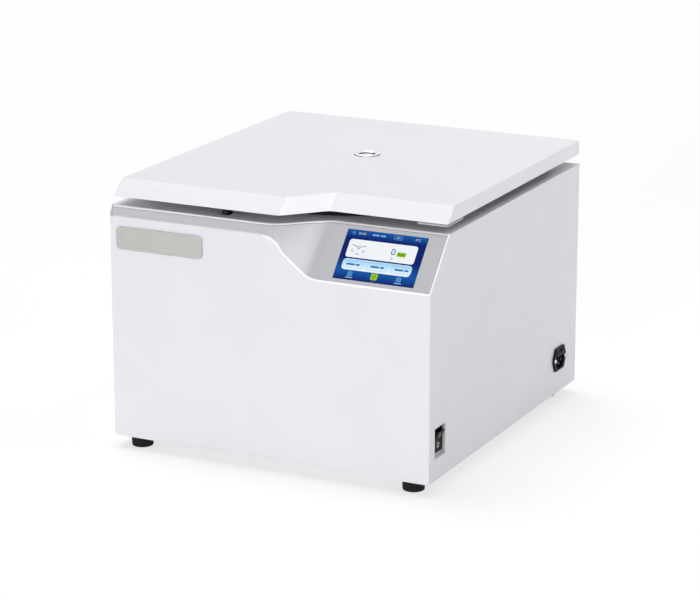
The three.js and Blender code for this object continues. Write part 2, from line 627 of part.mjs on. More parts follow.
add('motor_shaft', motorShaft(), steel);
add('motor_armature', ring(shaft.radius + gap, armature.radius, coreZ - armature.height / 2,
  coreZ + armature.height / 2, midFacets, spin.x, spin.y), darkSteel);
add('rotor_head', rotorHead(), aluminium);
add('rotor_nut', rotorNut(), steel);
for (let i = 0; i < 4; i += 1) {
  const angle = (i * Math.PI) / 2;
  const holder = new THREE.Group();
  holder.position.set(spin.x + trunnion.circle * Math.cos(angle), spin.y + trunnion.circle * Math.sin(angle),
    pivotZ);
  holder.rotation.z = angle;
  centrifuge.add(holder);
  add(`bucket_${i + 1}`, bucketGeometry(), aluminium, holder);
}

// Lid: a cover with a sloped front, a steel liner nested in it, and what they carry

function lidRing(z, inset) {
  const share = (z - lidBottom) / lid.height;
  const half = cabinet.width / 2 - lid.inset - inset;
  const steep = Math.hypot(1, lid.run / lid.height);
  const setback = share * lid.run + inset * steep;
  const stripY = front + lidFront.strip + setback;
  const panelY = front + lidFront.panel + setback;
  const rear = back + lid.rear - inset;
  const first = new THREE.Vector2(right - lidFront.first, stripY);
  const second = new THREE.Vector2(right - lidFront.second, panelY);
  const slant = second.clone().sub(first).normalize().multiplyScalar(lidFront.bend / 2);
  const level = new THREE.Vector2(lidFront.bend / 2, 0);
  const bendA = new THREE.QuadraticBezierCurve(first.clone().sub(level), first, first.clone().add(slant));
  const bendB = new THREE.QuadraticBezierCurve(second.clone().sub(slant), second, second.clone().add(level));
  const points = [new THREE.Vector2(-half, rear), new THREE.Vector2(-half, stripY), ...bendA.getPoints(4),
    ...bendB.getPoints(4), new THREE.Vector2(half, panelY), new THREE.Vector2(half, rear)];
  return points.map((p) => new THREE.Vector3(p.x, p.y, z));
}

function lidLoft(z0, z1, inset) {
  const rings = [lidRing(z0, inset), lidRing(z1, inset)];
  const cap = THREE.ShapeUtils.triangulateShape(rings[0].map((p) => new THREE.Vector2(p.x, p.y)), []);
  return loft(rings, cap);
}

const portY = spin.y + port.behind;
const portHole = rod(port.sleeve + gap, linerBottom - overrun, lidTop + overrun, spin.x, portY);
const coverInset = lid.wall + gap;

function lidCover() {
  const hollow = lidLoft(lidBottom - overrun, lidTop - lid.wall, lid.wall);
  return cut(lidLoft(lidBottom, lidTop, 0), hollow, portHole);
}

function lidLiner() {
  const body = lidLoft(linerBottom, lidTop - lid.wall - gap, coverInset);
  return cut(body, lidLoft(linerBottom + liner.sheet, lidTop, coverInset + liner.sheet), portHole);
}

function windowRing() {
  const seat = lidTop + gap;
  const top = seat + port.rim;
  const shelf = seat - port.lip - port.pane - gap;
  return turned([[port.sleeve, linerBottom], [port.sleeve, seat], [port.radius, seat],
    [port.radius, top - port.lip / 2], [port.radius - port.lip, top], [port.inner + port.lip, top],
    [port.inner, top - port.lip], [port.inner, shelf], [port.step, shelf], [port.step, linerBottom]],
  midFacets, spin.x, portY);
}

function windowPane() {
  const top = lidTop + gap - port.lip;
  return turned([[0, top - port.pane], [port.inner - gap, top - port.pane],
    [port.inner - gap, top - gap], [port.inner - 2 * gap, top], [0, top]], midFacets, spin.x, portY);
}

function cornerPad() {
  const x1 = cabinet.width / 2 - lid.inset - gap;
  const y0 = front + pad.fromFront;
  const shape = roundedShape(x1 - pad.width, x1, y0, y0 + pad.depth, pad.corner);
  return flat(shape, linerBottom - gap - pad.thickness, linerBottom - gap);
}

function latchHook() {
  const top = linerBottom - gap;
  const base = box(hookX - hookBase.width / 2, hookX + hookBase.width / 2, hookY - hookBase.depth / 2,
    hookY + hookBase.depth / 2, top - hookBase.sheet, top);
  const tip = top - hook.reach;
  const y0 = hookY - hook.depth / 2;
  const y1 = hookY + hook.depth / 2;
  const blade = outline([[y0, top - hookBase.sheet / 2], [y0, tip + hook.nose], [y0 + hook.nose, tip],
    [y1 - hook.nose, tip], [y1, tip + hook.nose], [y1, top - hookBase.sheet / 2]]);
  const window = box(hookX - overrun, hookX + overrun, hookY - hook.window / 2, hookY + hook.window / 2,
    boltZ - hook.window / 2, boltZ + hook.window / 2);
  return cut(join(base, fromSide(blade, hookX - hook.width / 2, hookX + hook.width / 2)), window);
}

add('lid_cover', lidCover(), lidPaint);
add('lid_liner', lidLiner(), steel);
add('window_ring', windowRing(), lightPlastic);
add('window_pane', windowPane(), clearGlass);
add('lid_corner_pad', cornerPad(), greyPlastic);
add('latch_hook', latchHook(), darkSteel);

// Lock under the deck: a body with a pocket for the hook, and a bolt that slides through the hook's window

function lockBody() {
  const pocketHalf = hook.width / 2 + slot.margin;
  const x1 = hookX + pocketHalf + lock.wall;
  const x0 = hookX - pocketHalf - lock.wall - lock.length;
  const halfDepth = hook.depth / 2 + slot.margin + lock.wall;
  const top = deckUnder - gap;
  const body = box(x0, x1, hookY - halfDepth + lock.relief, hookY + halfDepth, top - lock.height, top);
  const hookRoom = box(hookX - pocketHalf, hookX + pocketHalf, hookY - hook.depth / 2 - slot.margin,
    hookY + hook.depth / 2 + slot.margin, top - lock.height + lock.floor, top + overrun);
  const channel = box(boltTip - bolt.length - bolt.behind, hookX, hookY - bolt.width / 2 - play,
    hookY + bolt.width / 2 + play, boltZ - bolt.height / 2 - gap, boltZ + bolt.height / 2 + gap);
  return cut(body, hookRoom, channel);
}

function lockBolt() {
  const half = bolt.width / 2;
  const nose = bolt.height / 2;
  const shape = outline([[boltTip - bolt.length, hookY - half], [boltTip - nose, hookY - half],
    [boltTip, hookY - half + nose / 2], [boltTip, hookY + half - nose / 2], [boltTip - nose, hookY + half],
    [boltTip - bolt.length, hookY + half]]);
  return flat(shape, boltZ - bolt.height / 2, boltZ + bolt.height / 2);
}

add('lock_body', lockBody(), greyPlastic);
add('lock_bolt', lockBolt(), steel);

// Two barrel hinges in the gap under the lid, each with a leaf on the deck, a leaf on the liner and a pin.
// The leaves reach forward until they near the seal.

const hingeX = cabinet.width / 2 - hinge.fromSide;
const sealEnd = spin.y + Math.sqrt(Math.max(sealOuter ** 2 - (hingeX - hinge.width / 2) ** 2, 0));
const leafFront = sealEnd + hinge.clearance;

function hingeLeaf(x, onLid) {
  const step = hinge.width / hinge.knuckles;
  const x0 = x - hinge.width / 2;
  const z0 = onLid ? linerBottom - gap - hinge.sheet : deckZ + gap;
  const leaf = box(x0, x0 + hinge.width, leafFront, hingeY, z0, z0 + hinge.sheet);
  const blocks = [];
  const clears = [];
  for (let i = 0; i < hinge.knuckles; i += 1) {
    const own = (i % 2 === 1) === onLid;
    const a = x0 + i * step;
    if (own) {
      blocks.push(crossRod(hinge.knuckle, a + gap / 2, a + step - gap / 2, hingeY, hingeZ));
    } else {
      clears.push(crossRod(hinge.knuckle + play, a - gap / 2, a + step + gap / 2, hingeY, hingeZ));
    }
  }
  const bore = crossRod(hinge.pin + gap, x0 - overrun, x0 + hinge.width + overrun, hingeY, hingeZ);
  return cut(join(cut(leaf, ...clears), ...blocks), bore);
}

for (const [side, name] of [[-1, 'left'], [1, 'right']]) {
  const x = side * hingeX;
  add(`deck_hinge_${name}`, hingeLeaf(x, false), darkSteel);
  add(`lid_hinge_${name}`, hingeLeaf(x, true), darkSteel);
  const pinRod = crossRod(hinge.pin, x - hinge.width / 2, x + hinge.width / 2, hingeY, hingeZ);
  add(`hinge_pin_${name}`, pinRod, steel);
}

// Mains rocker: a recess in the side, the switch's frame on its floor, and the rocker on its own pivot

const pocketFloor = right - pocket.depth;
const frameFace = pocketFloor + gap + switchFrame.flange;
const switchZ = pocket.z + switchFrame.raised;

function switchPocket() {
  const centred = (width, height, z) =>
    [pocketY - width / 2, pocketY + width / 2, z - height / 2, z + height / 2];
  const body = box(pocketFloor - pocket.floor, right, ...centred(pocket.width, pocket.height, pocket.z));
  const room = box(pocketFloor, right + overrun,
    ...centred(pocket.width - 2 * pocket.wall, pocket.height - 2 * pocket.wall, pocket.z));
  const hole = box(pocketFloor - overrun, right,
    ...centred(switchFrame.bodyWidth + 2 * gap, switchFrame.bodyHeight + 2 * gap, switchZ));
  return cut(body, room, hole);
}

function switchFrameGeometry() {
  const flange = fromSide(roundedShape(pocketY - switchFrame.width / 2, pocketY + switchFrame.width / 2,
    switchZ - switchFrame.height / 2, switchZ + switchFrame.height / 2, switchFrame.flange),
  frameFace - switchFrame.flange, frameFace, 3);
  const body = box(frameFace - switchDepth.body, frameFace - switchFrame.flange / 2,
    pocketY - switchFrame.bodyWidth / 2, pocketY + switchFrame.bodyWidth / 2,
    switchZ - switchFrame.bodyHeight / 2, switchZ + switchFrame.bodyHeight / 2);
  const halfWide = rocker.width / 2 + play;
  const halfHigh = rocker.half + rocker.room;
  const cavity = box(frameFace - switchDepth.cavity, frameFace + overrun,
    pocketY - halfWide, pocketY + halfWide, switchZ - halfHigh, switchZ + halfHigh);
  const reach = rocker.width / 2 + rockerStub.length + play;
  const sockets = rod(rockerStub.radius + gap, -reach, reach, 0, 0, fineFacets).rotateX(Math.PI / 2)
    .translate(frameFace - rocker.pivot, pocketY, switchZ);
  return cut(join(flange, body), cavity, sockets);
}

// The rocker about its own pivot: two faces that meet in a valley, and a stub at each side
function rockerGeometry() {
  const { half, tip, valley, back: tail, width } = rocker;
  const shape = outline([[tip, -half], [valley, 0], [tip, half], [0, half - tail], [-tail, 0],
    [0, -half + tail]].reverse());
  const body = extrude(shape, width).rotateX(Math.PI / 2).translate(0, width / 2, 0);
  const reach = width / 2 + rockerStub.length;
  return join(body, rod(rockerStub.radius, -reach, reach, 0, 0, fineFacets).rotateX(Math.PI / 2));
}

add('switch_pocket', switchPocket(), greyPlastic);
add('switch_frame', switchFrameGeometry(), blackPlastic);
const rockerPivot = new THREE.Group();
rockerPivot.position.set(frameFace - rocker.pivot, pocketY, switchZ);
rockerPivot.rotation.y = rockerTilt;
centrifuge.add(rockerPivot);
add('power_rocker', rockerGeometry(), blackPlastic, rockerPivot);

// Mains inlet: six-sided flange, socket with three blades below, and the fuse drawer above

const flangeBack = right + gap;
const flangeFace = flangeBack + inlet.flange;
const socketZ = inlet.z - inlet.height / 2 + socket.rise + socket.height / 2;
const drawerZ = socketZ + socket.height / 2 + socket.wall + drawer.height / 2;
const bladeTip = flangeFace - pin.recess;
const socketFloor = flangeFace - socket.depth;

const blades = [
  ['inlet_pin_line', inletY - pin.spread, socketZ + pin.offset],
  ['inlet_pin_neutral', inletY + pin.spread, socketZ + pin.offset],
  ['inlet_pin_earth', inletY, socketZ - pin.offset],
];

function inletBody() {
  const high = inlet.height / 2;
  const quarter = [[inlet.topHalf, high], [inlet.half, inlet.ear]];
  const upper = [...quarter, ...quarter.map(([y, z]) => [y, -z]).reverse()];
  const corners = [...upper, ...upper.map(([y, z]) => [-y, z]).reverse()].reverse();
  const flange = fromSide(outline(corners), flangeBack, flangeFace).translate(0, inletY, inlet.z);
  const body = box(right - inletBox.depth, flangeBack + inlet.flange / 2, inletY - inletBox.side / 2,
    inletY + inletBox.side / 2, inlet.z - inletBox.side / 2, inlet.z + inletBox.side / 2);
  const w = socket.width / 2;
  const h = socket.height / 2;
  const mouth = outline([[inletY - w + socket.bevel, socketZ - h], [inletY + w - socket.bevel, socketZ - h],
    [inletY + w, socketZ - h + socket.bevel], [inletY + w, socketZ + h], [inletY - w, socketZ + h],
    [inletY - w, socketZ - h + socket.bevel]]);
  const cavity = fromSide(mouth, socketFloor, flangeFace + overrun);
  const drawerRoom = box(flangeFace - drawer.depth - gap, flangeFace + overrun,
    inletY - drawer.width / 2 - gap, inletY + drawer.width / 2 + gap,
    drawerZ - drawer.height / 2 - gap, drawerZ + drawer.height / 2 + gap);
  const bladeHoles = blades.map(([, y, z]) => box(right - inletBox.depth - overrun, socketFloor + overrun,
    y - pin.thickness / 2 - gap, y + pin.thickness / 2 + gap,
    z - pin.width / 2 - gap, z + pin.width / 2 + gap));
  const screwHoles = [-1, 1].map((side) => crossRod(inletScrew.hole,
    flangeBack - overrun, flangeFace + overrun, inletY + side * inletScrew.spread, inlet.z));
  return cut(join(flange, body), cavity, drawerRoom, ...bladeHoles, ...screwHoles);
}

function bladeGeometry(y, z) {
  const nose = pin.thickness / 4;
  const shape = outline([[right - inletBox.depth - pin.tail, y - pin.thickness / 2],
    [bladeTip - nose, y - pin.thickness / 2], [bladeTip, y - pin.thickness / 4],
    [bladeTip, y + pin.thickness / 4], [bladeTip - nose, y + pin.thickness / 2],
    [right - inletBox.depth - pin.tail, y + pin.thickness / 2]]);
  return flat(shape, z - pin.width / 2, z + pin.width / 2);
}

const fuseX = flangeFace - fuse.behind;
const fuseZ = drawerZ + drawer.height / 2 - fuse.radius - gap;

function fuseDrawer() {
  const face = flangeFace + drawer.proud;
  const top = drawerZ + drawer.height / 2;
  const body = box(flangeFace - drawer.depth, face, inletY - drawer.width / 2, inletY + drawer.width / 2,
    top - drawer.height, top);
  const grip = box(face - drawer.gripDepth, face + overrun,
    inletY - drawer.width / 4, inletY + drawer.width / 4, top - drawer.grip, top + overrun);
  const fuseRoom = box(fuseX - fuse.radius - gap, fuseX + fuse.radius + gap,
    inletY - fuse.length / 2 - gap, inletY + fuse.length / 2 + gap, fuseZ - fuse.radius - gap, top + overrun);
  return cut(body, grip, fuseRoom);
}

function fuseGeometry() {
  const tube = rod(fuse.radius, -fuse.length / 2, fuse.length / 2, 0, 0, fineFacets);
  return tube.rotateX(Math.PI / 2).translate(fuseX, inletY, fuseZ);
}

function inletScrewGeometry(side) {
  const y = inletY + side * inletScrew.spread;
  const seat = flangeFace + gap;
  const head = [[0, -inletScrew.length], [inletScrew.shank, -inletScrew.length], [inletScrew.shank, 0],
    [inletScrew.head, 0], [inletScrew.head, inletScrew.headHeight / 2],
    [inletScrew.head / 2, inletScrew.headHeight], [0, inletScrew.headHeight]];
  return turned(head, fineFacets).rotateY(Math.PI / 2).translate(seat, y, inlet.z);
}

add('inlet_body', inletBody(), blackPlastic);
for (const [name, y, z] of blades) add(name, bladeGeometry(y, z), steel);
add('fuse_drawer', fuseDrawer(), blackPlastic);
add('fuse', fuseGeometry(), clearGlass);
add('inlet_screw_front', inletScrewGeometry(-1), steel);
add('inlet_screw_rear', inletScrewGeometry(1), steel);

// Drive electronics on the tray, and the wiring from the inlet to the rocker

const driveLeft = left + drive.fromSide;

function driveBoard() {
  const x0 = driveLeft;
  const y0 = front + drive.y - drive.depth / 2;
  const low = trayTop + drive.lift;
  const high = low + board.thickness;
  const sheet = box(x0, x0 + drive.width, y0, y0 + drive.depth, low, high);
  const posts = [[0, 0], [1, 0], [1, 1], [0, 1]].map(([sx, sy]) => rod(drive.post, trayTop + gap, high,
    x0 + 2 * drive.post + sx * (drive.width - 4 * drive.post),
    y0 + 2 * drive.post + sy * (drive.depth - 4 * drive.post), fineFacets));
  const cans = Array.from({ length: capacitor.count }, (_, i) =>
    rod(capacitor.radius, low, high + capacitor.height, x0 + capacitor.pitch * (i + 1), y0 + drive.depth / 2,
      cupFacets));
  const coilX = x0 + capacitor.pitch * (capacitor.count + 1);
  const choke = box(coilX - coil.width / 2, coilX + coil.width / 2, y0 + drive.depth / 2 - coil.depth / 2,
    y0 + drive.depth / 2 + coil.depth / 2, low, high + coil.height);
  return join(sheet, ...posts, ...cans, choke);
}

function heatSink() {
  const x0 = driveLeft + drive.width + sink.beside;
  const y0 = front + sink.y - sink.depth / 2;
  const low = trayTop + gap;
  const base = box(x0, x0 + sink.width, y0, y0 + sink.depth, low, low + sink.base);
  const pitch = (sink.width - sink.fin) / (sink.fins - 1);
  const fins = Array.from({ length: sink.fins }, (_, i) => box(x0 + i * pitch, x0 + i * pitch + sink.fin, y0,
    y0 + sink.depth, low, low + sink.height));
  return join(base, ...fins);
}

function mainsHarness() {
  const x = right - cabinet.sheet - wire.standoff;
  const inletEnd = right - inletBox.depth - pin.tail;
  const switchEnd = frameFace - switchDepth.body;
  const low = inlet.z - wire.drop;
  const stub = gap + 2 * wire.radius;
  const route = new THREE.CatmullRomCurve3([
    new THREE.Vector3(inletEnd - gap, inletY, inlet.z),
    new THREE.Vector3(inletEnd - stub, inletY, inlet.z),
    new THREE.Vector3(inletEnd - wire.radius, inletY - 2 * wire.standoff, low),
    new THREE.Vector3(x, inletY - 6 * wire.standoff, low),
    new THREE.Vector3(x, (inletY + pocketY) / 2, low),
    new THREE.Vector3(x, pocketY + 6 * wire.standoff, low),
    new THREE.Vector3(switchEnd - wire.standoff, pocketY + 2 * wire.standoff, switchZ),
    new THREE.Vector3(switchEnd - stub, pocketY, switchZ),
    new THREE.Vector3(switchEnd - gap, pocketY, switchZ),
  ], false, 'centripetal');
  const section = new THREE.Shape();
  section.absarc(0, 0, wire.radius, 0, 2 * Math.PI);
  return new THREE.ExtrudeGeometry(section, { extrudePath: route, steps: wire.steps, curveSegments: 4 });
}

add('drive_board', driveBoard(), circuitGreen);
add('heat_sink', heatSink(), aluminium);
add('mains_harness', mainsHarness(), cable);

export default centrifuge;
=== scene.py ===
"""Benchtop centrifuge: finishes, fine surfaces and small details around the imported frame. Metres, +Z up.

The cabinet, lid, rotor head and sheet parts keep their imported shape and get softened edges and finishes.
Turned and moulded parts are replaced by finer ones of the same size. Prints, marks and screws are added.
"""

import json
import math

import bmesh
import bpy
from mathutils import Matrix, Vector


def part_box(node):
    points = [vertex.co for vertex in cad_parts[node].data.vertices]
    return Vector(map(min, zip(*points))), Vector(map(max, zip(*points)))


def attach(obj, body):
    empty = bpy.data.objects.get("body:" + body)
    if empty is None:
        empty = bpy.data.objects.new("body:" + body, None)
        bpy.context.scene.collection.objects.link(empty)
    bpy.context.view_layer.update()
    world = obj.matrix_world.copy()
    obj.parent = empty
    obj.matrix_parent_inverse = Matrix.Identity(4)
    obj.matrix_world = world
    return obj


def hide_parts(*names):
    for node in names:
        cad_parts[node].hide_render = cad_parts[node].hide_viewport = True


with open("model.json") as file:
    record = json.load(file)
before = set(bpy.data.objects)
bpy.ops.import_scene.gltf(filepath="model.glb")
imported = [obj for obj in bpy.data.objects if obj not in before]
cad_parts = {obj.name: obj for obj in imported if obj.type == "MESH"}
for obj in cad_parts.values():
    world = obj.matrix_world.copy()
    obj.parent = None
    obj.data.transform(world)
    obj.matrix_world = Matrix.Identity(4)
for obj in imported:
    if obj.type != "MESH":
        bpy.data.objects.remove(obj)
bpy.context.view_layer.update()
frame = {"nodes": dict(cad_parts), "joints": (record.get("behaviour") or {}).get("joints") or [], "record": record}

mm = 0.001
TURN = 2 * math.pi
PRINT = 0.05 * mm  # thickness of a printed layer
GAP = 0.3 * mm  # clearance between pieces that touch
# facets round a turned piece, from the bowl to the screw heads
LARGE = 144
MEDIUM = 96
STOUT = 64
SMALL = 48
TINY = 32
SQUARE = ((-1, -1), (1, -1), (1, 1), (-1, 1))  # corners, in half sides


# Places that come from the frame

def middle(node):
    low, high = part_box(node)
    return (low + high) / 2


def joint(name):
    return next(row for row in frame["joints"] if row["name"] == name)


cabinet_low, cabinet_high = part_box("cabinet_shell")
deck_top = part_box("top_deck")[1].z
lid_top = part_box("lid_cover")[1].z
liner_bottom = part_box("lid_liner")[0].z
spin = Vector(joint("rotor_spin")["pos_m"])
# where the front's bend meets the low strip and the panel
bend_left = cabinet_high.x - 216 * mm
bend_right = cabinet_high.x - 164 * mm


def placed(name, data):
    """A new object in the scene."""
    obj = bpy.data.objects.new(name, data)
    bpy.context.scene.collection.objects.link(obj)
    return obj


def fill(node, **values):
    """Sets a node's inputs by name: coat_weight stands for Coat Weight."""
    for key, value in values.items():
        socket = key.replace("_", " ").title().replace("Ior", "IOR")
        node.inputs[socket].default_value = value


# Camera, where the photograph was taken from

def add_camera():
    elevation = math.radians(15.85)
    azimuth = math.radians(26.21)
    data = bpy.data.cameras.new("camera")
    data.lens = 140.6
    data.sensor_width = 36.0
    data.clip_end = 100
    camera = placed("camera", data)
    camera.location = (1.5194, -3.0913, 1.1393)
    camera.rotation_euler = (math.pi / 2 - elevation, 0, azimuth)
    bpy.context.scene.camera = camera


# Light: a pale world, low lamps in front and at the right, one overhead, and a small softbox

WORLD_LIGHT = 0.345
# strength on a face that looks at the lamp, then its elevation, azimuth and width in degrees
SUNS = {
    "front": (0.413, 7, 0, 14),
    "side": (0.150, 6, 88, 12),
    "overhead": (0.455, 70, -110, 40),
}
SOFTBOX = (5.0, 0.6, Vector((0.78, 0.26, 2.15)))  # power, size and place
# panels that only show as reflections: power, size, distance and the direction that they shine from
GLINTS = {
    "lid_glint": (5.0, 0.5, 1.8, Vector((0.39, 0.128, 0.911))),
    "panel_glint": (6.0, 0.5, 1.8, Vector((0.458, -0.538, 0.706))),
}


def seen_rays(tree):
    """1 for rays that show the background: straight to the camera, by reflection or through glass."""
    path = tree.nodes.new("ShaderNodeLightPath")
    seen = path.outputs["Is Camera Ray"]
    for kind in ("Is Glossy Ray", "Is Transmission Ray"):
        either = tree.nodes.new("ShaderNodeMath")
        either.operation = "MAXIMUM"
        tree.links.new(seen, either.inputs[0])
        tree.links.new(path.outputs[kind], either.inputs[1])
        seen = either.outputs[0]
    return seen


def show(tree, lit, seen, output):
    """One shader lights the object, and the other is what is seen of the background."""
    mix = tree.nodes.new("ShaderNodeMixShader")
    tree.links.new(seen_rays(tree), mix.inputs["Fac"])
    tree.links.new(lit.outputs[0], mix.inputs[1])
    tree.links.new(seen.outputs[0], mix.inputs[2])
    tree.links.new(mix.outputs[0], output.inputs["Surface"])


def add_world():
    world = bpy.data.worlds.new("studio")
    world.use_nodes = True
    tree = world.node_tree
    lit = tree.nodes["Background"]
    seen = tree.nodes.new("ShaderNodeBackground")
    for shader, strength in ((lit, WORLD_LIGHT), (seen, 1)):
        fill(shader, color=(1, 1, 1, 1), strength=strength)
    show(tree, lit, seen, tree.nodes["World Output"])
    bpy.context.scene.world = world


def area_lamp(name, power, size, place, turn):
    data = bpy.data.lights.new(name, "AREA")
    data.energy = power
    data.size = size
    lamp = placed(name, data)
    lamp.location = place
    lamp.rotation_euler = turn.to_euler()
    return lamp


def add_lamps():
    for name, (strength, elevation, azimuth, width) in SUNS.items():
        sun = bpy.data.lights.new(name, "SUN")
        sun.energy = strength * math.pi
        sun.angle = math.radians(width)
        placed(name, sun).rotation_euler = (math.radians(90 - elevation), 0, math.radians(azimuth))
    power, size, place = SOFTBOX
    aim = (middle("lid_cover") - place).to_track_quat("-Z", "Y")
    area_lamp("softbox", power, size, place, aim)
    for name, (power, size, distance, towards) in GLINTS.items():
        place = middle("control_bezel") + towards.normalized() * distance
        area_lamp(name, power, size, place, towards.to_track_quat("Z", "Y")).visible_diffuse = False


def add_floor():
    """A pale floor that shows white: a share of the white glows, and the rest takes the shadow."""
    half = 12.0
    below = 0.2 * mm
    pale = 0.92
    brightness = 1.06
    glow_share = 0.62
    corners = [(half * x, half * y, 0) for x, y in SQUARE]
    mesh = bpy.data.meshes.new("floor")
    mesh.from_pydata(corners, [], [(0, 1, 2, 3)])
    floor = placed("floor", mesh)
    floor.location.z = -below
    material = bpy.data.materials.new("floor")
    material.use_nodes = True
    tree = material.node_tree
    tree.nodes.remove(tree.nodes["Principled BSDF"])
    lit = tree.nodes.new("ShaderNodeBsdfDiffuse")
    fill(lit, color=(pale, pale, pale, 1))
    white = tree.nodes.new("ShaderNodeBsdfDiffuse")
    fill(white, color=(1, 1, 1, 1))
    glow = tree.nodes.new("ShaderNodeEmission")
    fill(glow, strength=brightness)
    shown = tree.nodes.new("ShaderNodeMixShader")
    fill(shown, fac=glow_share)
    tree.links.new(white.outputs[0], shown.inputs[1])
    tree.links.new(glow.outputs[0], shown.inputs[2])
    show(tree, lit, shown, tree.nodes["Material Output"])
    mesh.materials.append(material)


# Materials: one Principled shader each, with a surface worked out by nodes

WHITE = (0.80, 0.793, 0.841)
DECK_WHITE = (0.84, 0.833, 0.87)
GREY = (0.447, 0.449, 0.475)
STEEL = (0.56, 0.57, 0.58)
ALUMINIUM = (0.58, 0.59, 0.60)
ALONG_X = (0.02, 1, 1)  # squeezes the coordinates, so that scratches run along X
BLUR = 0.1 * mm  # half the width of a painted border's soft edge
NOISE_SPAN = (0.3, 0.7)  # the values that a noise mostly takes


class Finish:
    """A material and the nodes that vary its colour, gloss and relief."""

    def __init__(self, name, colour, roughness, metallic=0.0, **sockets):
        self.material = bpy.data.materials.new(name)
        self.material.use_nodes = True
        self.tree = self.material.node_tree
        self.shader = self.tree.nodes["Principled BSDF"]
        self.colour = colour
        base = (*colour, 1)
        fill(self.shader, base_color=base, roughness=roughness, metallic=metallic, **sockets)

    def node(self, kind, **settings):
        made = self.tree.nodes.new("ShaderNode" + kind)
        for key, value in settings.items():
            setattr(made, key, value)
        return made

    def link(self, output, socket):
        self.tree.links.new(output, socket)

    def vector(self, operation, value, other=None):
        """The outputs of a vector sum worked on a value and a fixed vector."""
        made = self.node("VectorMath", operation=operation)
        self.link(value, made.inputs[0])
        if other is not None:
            made.inputs[1].default_value = other
        return made.outputs

    def place(self, stretch=(1, 1, 1)):
        """The piece's own coordinates, squeezed along each axis by stretch."""
        coordinates = self.node("TexCoord")
        mapping = self.node("Mapping")
        fill(mapping, scale=stretch)
        self.link(coordinates.outputs["Object"], mapping.inputs["Vector"])
        return mapping.outputs[0]

    def rings(self, centre=None):
        """Coordinates that change only with the radius and the height about a turned piece's axis."""
        if centre is None:
            return self.node("Attribute", attribute_name="turned").outputs["Vector"]
        away = self.vector("SUBTRACT", self.place(), centre)[0]
        flat = self.vector("MULTIPLY", away, (1, 1, 0))[0]
        radius = self.vector("LENGTH", flat)["Value"]
        split = self.node("SeparateXYZ")
        self.link(away, split.inputs[0])
        joined = self.node("CombineXYZ")
        self.link(radius, joined.inputs["X"])
        self.link(split.outputs["Z"], joined.inputs["Y"])
        return joined.outputs[0]

    def texture(self, kind, vector, size, **settings):
        """A texture whose features measure about size metres."""
        made = self.node(kind, **settings)
        fill(made, scale=1 / size)
        self.link(vector, made.inputs["Vector"])
        return made

    def noise(self, vector, size, detail):
        made = self.texture("TexNoise", vector, size)
        fill(made, detail=detail)
        return made.outputs["Fac"]

    def tint(self, factor, amount, spread=0.18):
        """The colour varies by amount, as a share, with the factor."""
        ramp = self.node("ValToRGB")
        places = (0.5 - spread, 0.5 + spread)
        for stop, place, share in zip(ramp.color_ramp.elements, places, (-amount, amount)):
            stop.position = place
            stop.color = (*(min(1.0, c * (1 + share)) for c in self.colour), 1)
        self.link(factor, ramp.inputs["Fac"])
        self.link(ramp.outputs["Color"], self.shader.inputs["Base Color"])

    def gloss(self, factor, low, high):
        """The roughness runs from low to high with the factor."""
        self.link(self.band(factor, *NOISE_SPAN, low, high), self.shader.inputs["Roughness"])

    def band(self, value, low, high, start=0.0, end=1.0):
        """Runs from start to end as a value runs from low to high, and stays there."""
        spread = self.node("MapRange")
        fill(spread, from_min=low, from_max=high, to_min=start, to_max=end)
        self.link(value, spread.inputs["Value"])
        return spread.outputs[0]

    def turned_to(self, direction, low, high):
        """From 0 to 1 as the surface turns towards a direction of the piece, between two cosines."""
        facing = self.node("TexCoord").outputs["Normal"]
        return self.band(self.vector("DOT_PRODUCT", facing, direction)["Value"], low, high)

    def axes(self):
        """The piece's own coordinates, one by one."""
        split = self.node("SeparateXYZ")
        self.link(self.place(), split.inputs[0])
        return split.outputs

    def within(self, *limits):
        """1 where each coordinate lies between its two limits, with a fine soft edge."""
        parts = []
        for output, (low, high) in zip(self.axes(), limits):
            parts.append(self.band(output, low - BLUR, low + BLUR))
            parts.append(self.band(output, high + BLUR, high - BLUR))
        return self.both(*parts)

    def both(self, first, *others):
        """The product of some factors."""
        for other in others:
            product = self.node("Math", operation="MULTIPLY")
            self.link(first, product.inputs[0])
            self.link(other, product.inputs[1])
            first = product.outputs[0]
        return first

    def shade(self, factor, share):
        """The colour is multiplied by share where the factor is 1."""
        base = self.shader.inputs["Base Color"]
        scale = self.node("VectorMath", operation="SCALE")
        self.link(base.links[0].from_socket, scale.inputs[0])
        self.link(self.band(factor, 0, 1, 1, share), scale.inputs["Scale"])
        self.link(scale.outputs[0], base)

    def relief(self, factor, depth, strength):
        """Bumps of the given depth in metres. A second relief adds to the first."""
        bump = self.node("Bump")
        fill(bump, distance=depth, strength=strength)
        normal = self.shader.inputs["Normal"]
        if normal.is_linked:
            self.link(normal.links[0].from_socket, bump.inputs["Normal"])
        self.link(factor, bump.inputs["Height"])
        self.link(bump.outputs[0], normal)


def coated(name, colour, low=0.3, high=0.38, peel=0.35):
    """Baked powder paint: a fine orange peel, with faint changes of gloss and shade."""
    finish = Finish(name, colour, low)
    place = finish.place()
    finish.tint(finish.noise(place, 90 * mm, 3), 0.012)
    finish.gloss(finish.noise(place, 14 * mm, 3), low, high)
    finish.relief(finish.noise(place, 1.6 * mm, 2), 0.02 * mm, peel)
    return finish


RIGHT = Vector((1, 0, 0))
FRONT = Vector((0, -1, 0))
UP = Vector((0, 0, 1))
FAR = 1.0  # beyond the object's reach, for a side without a limit


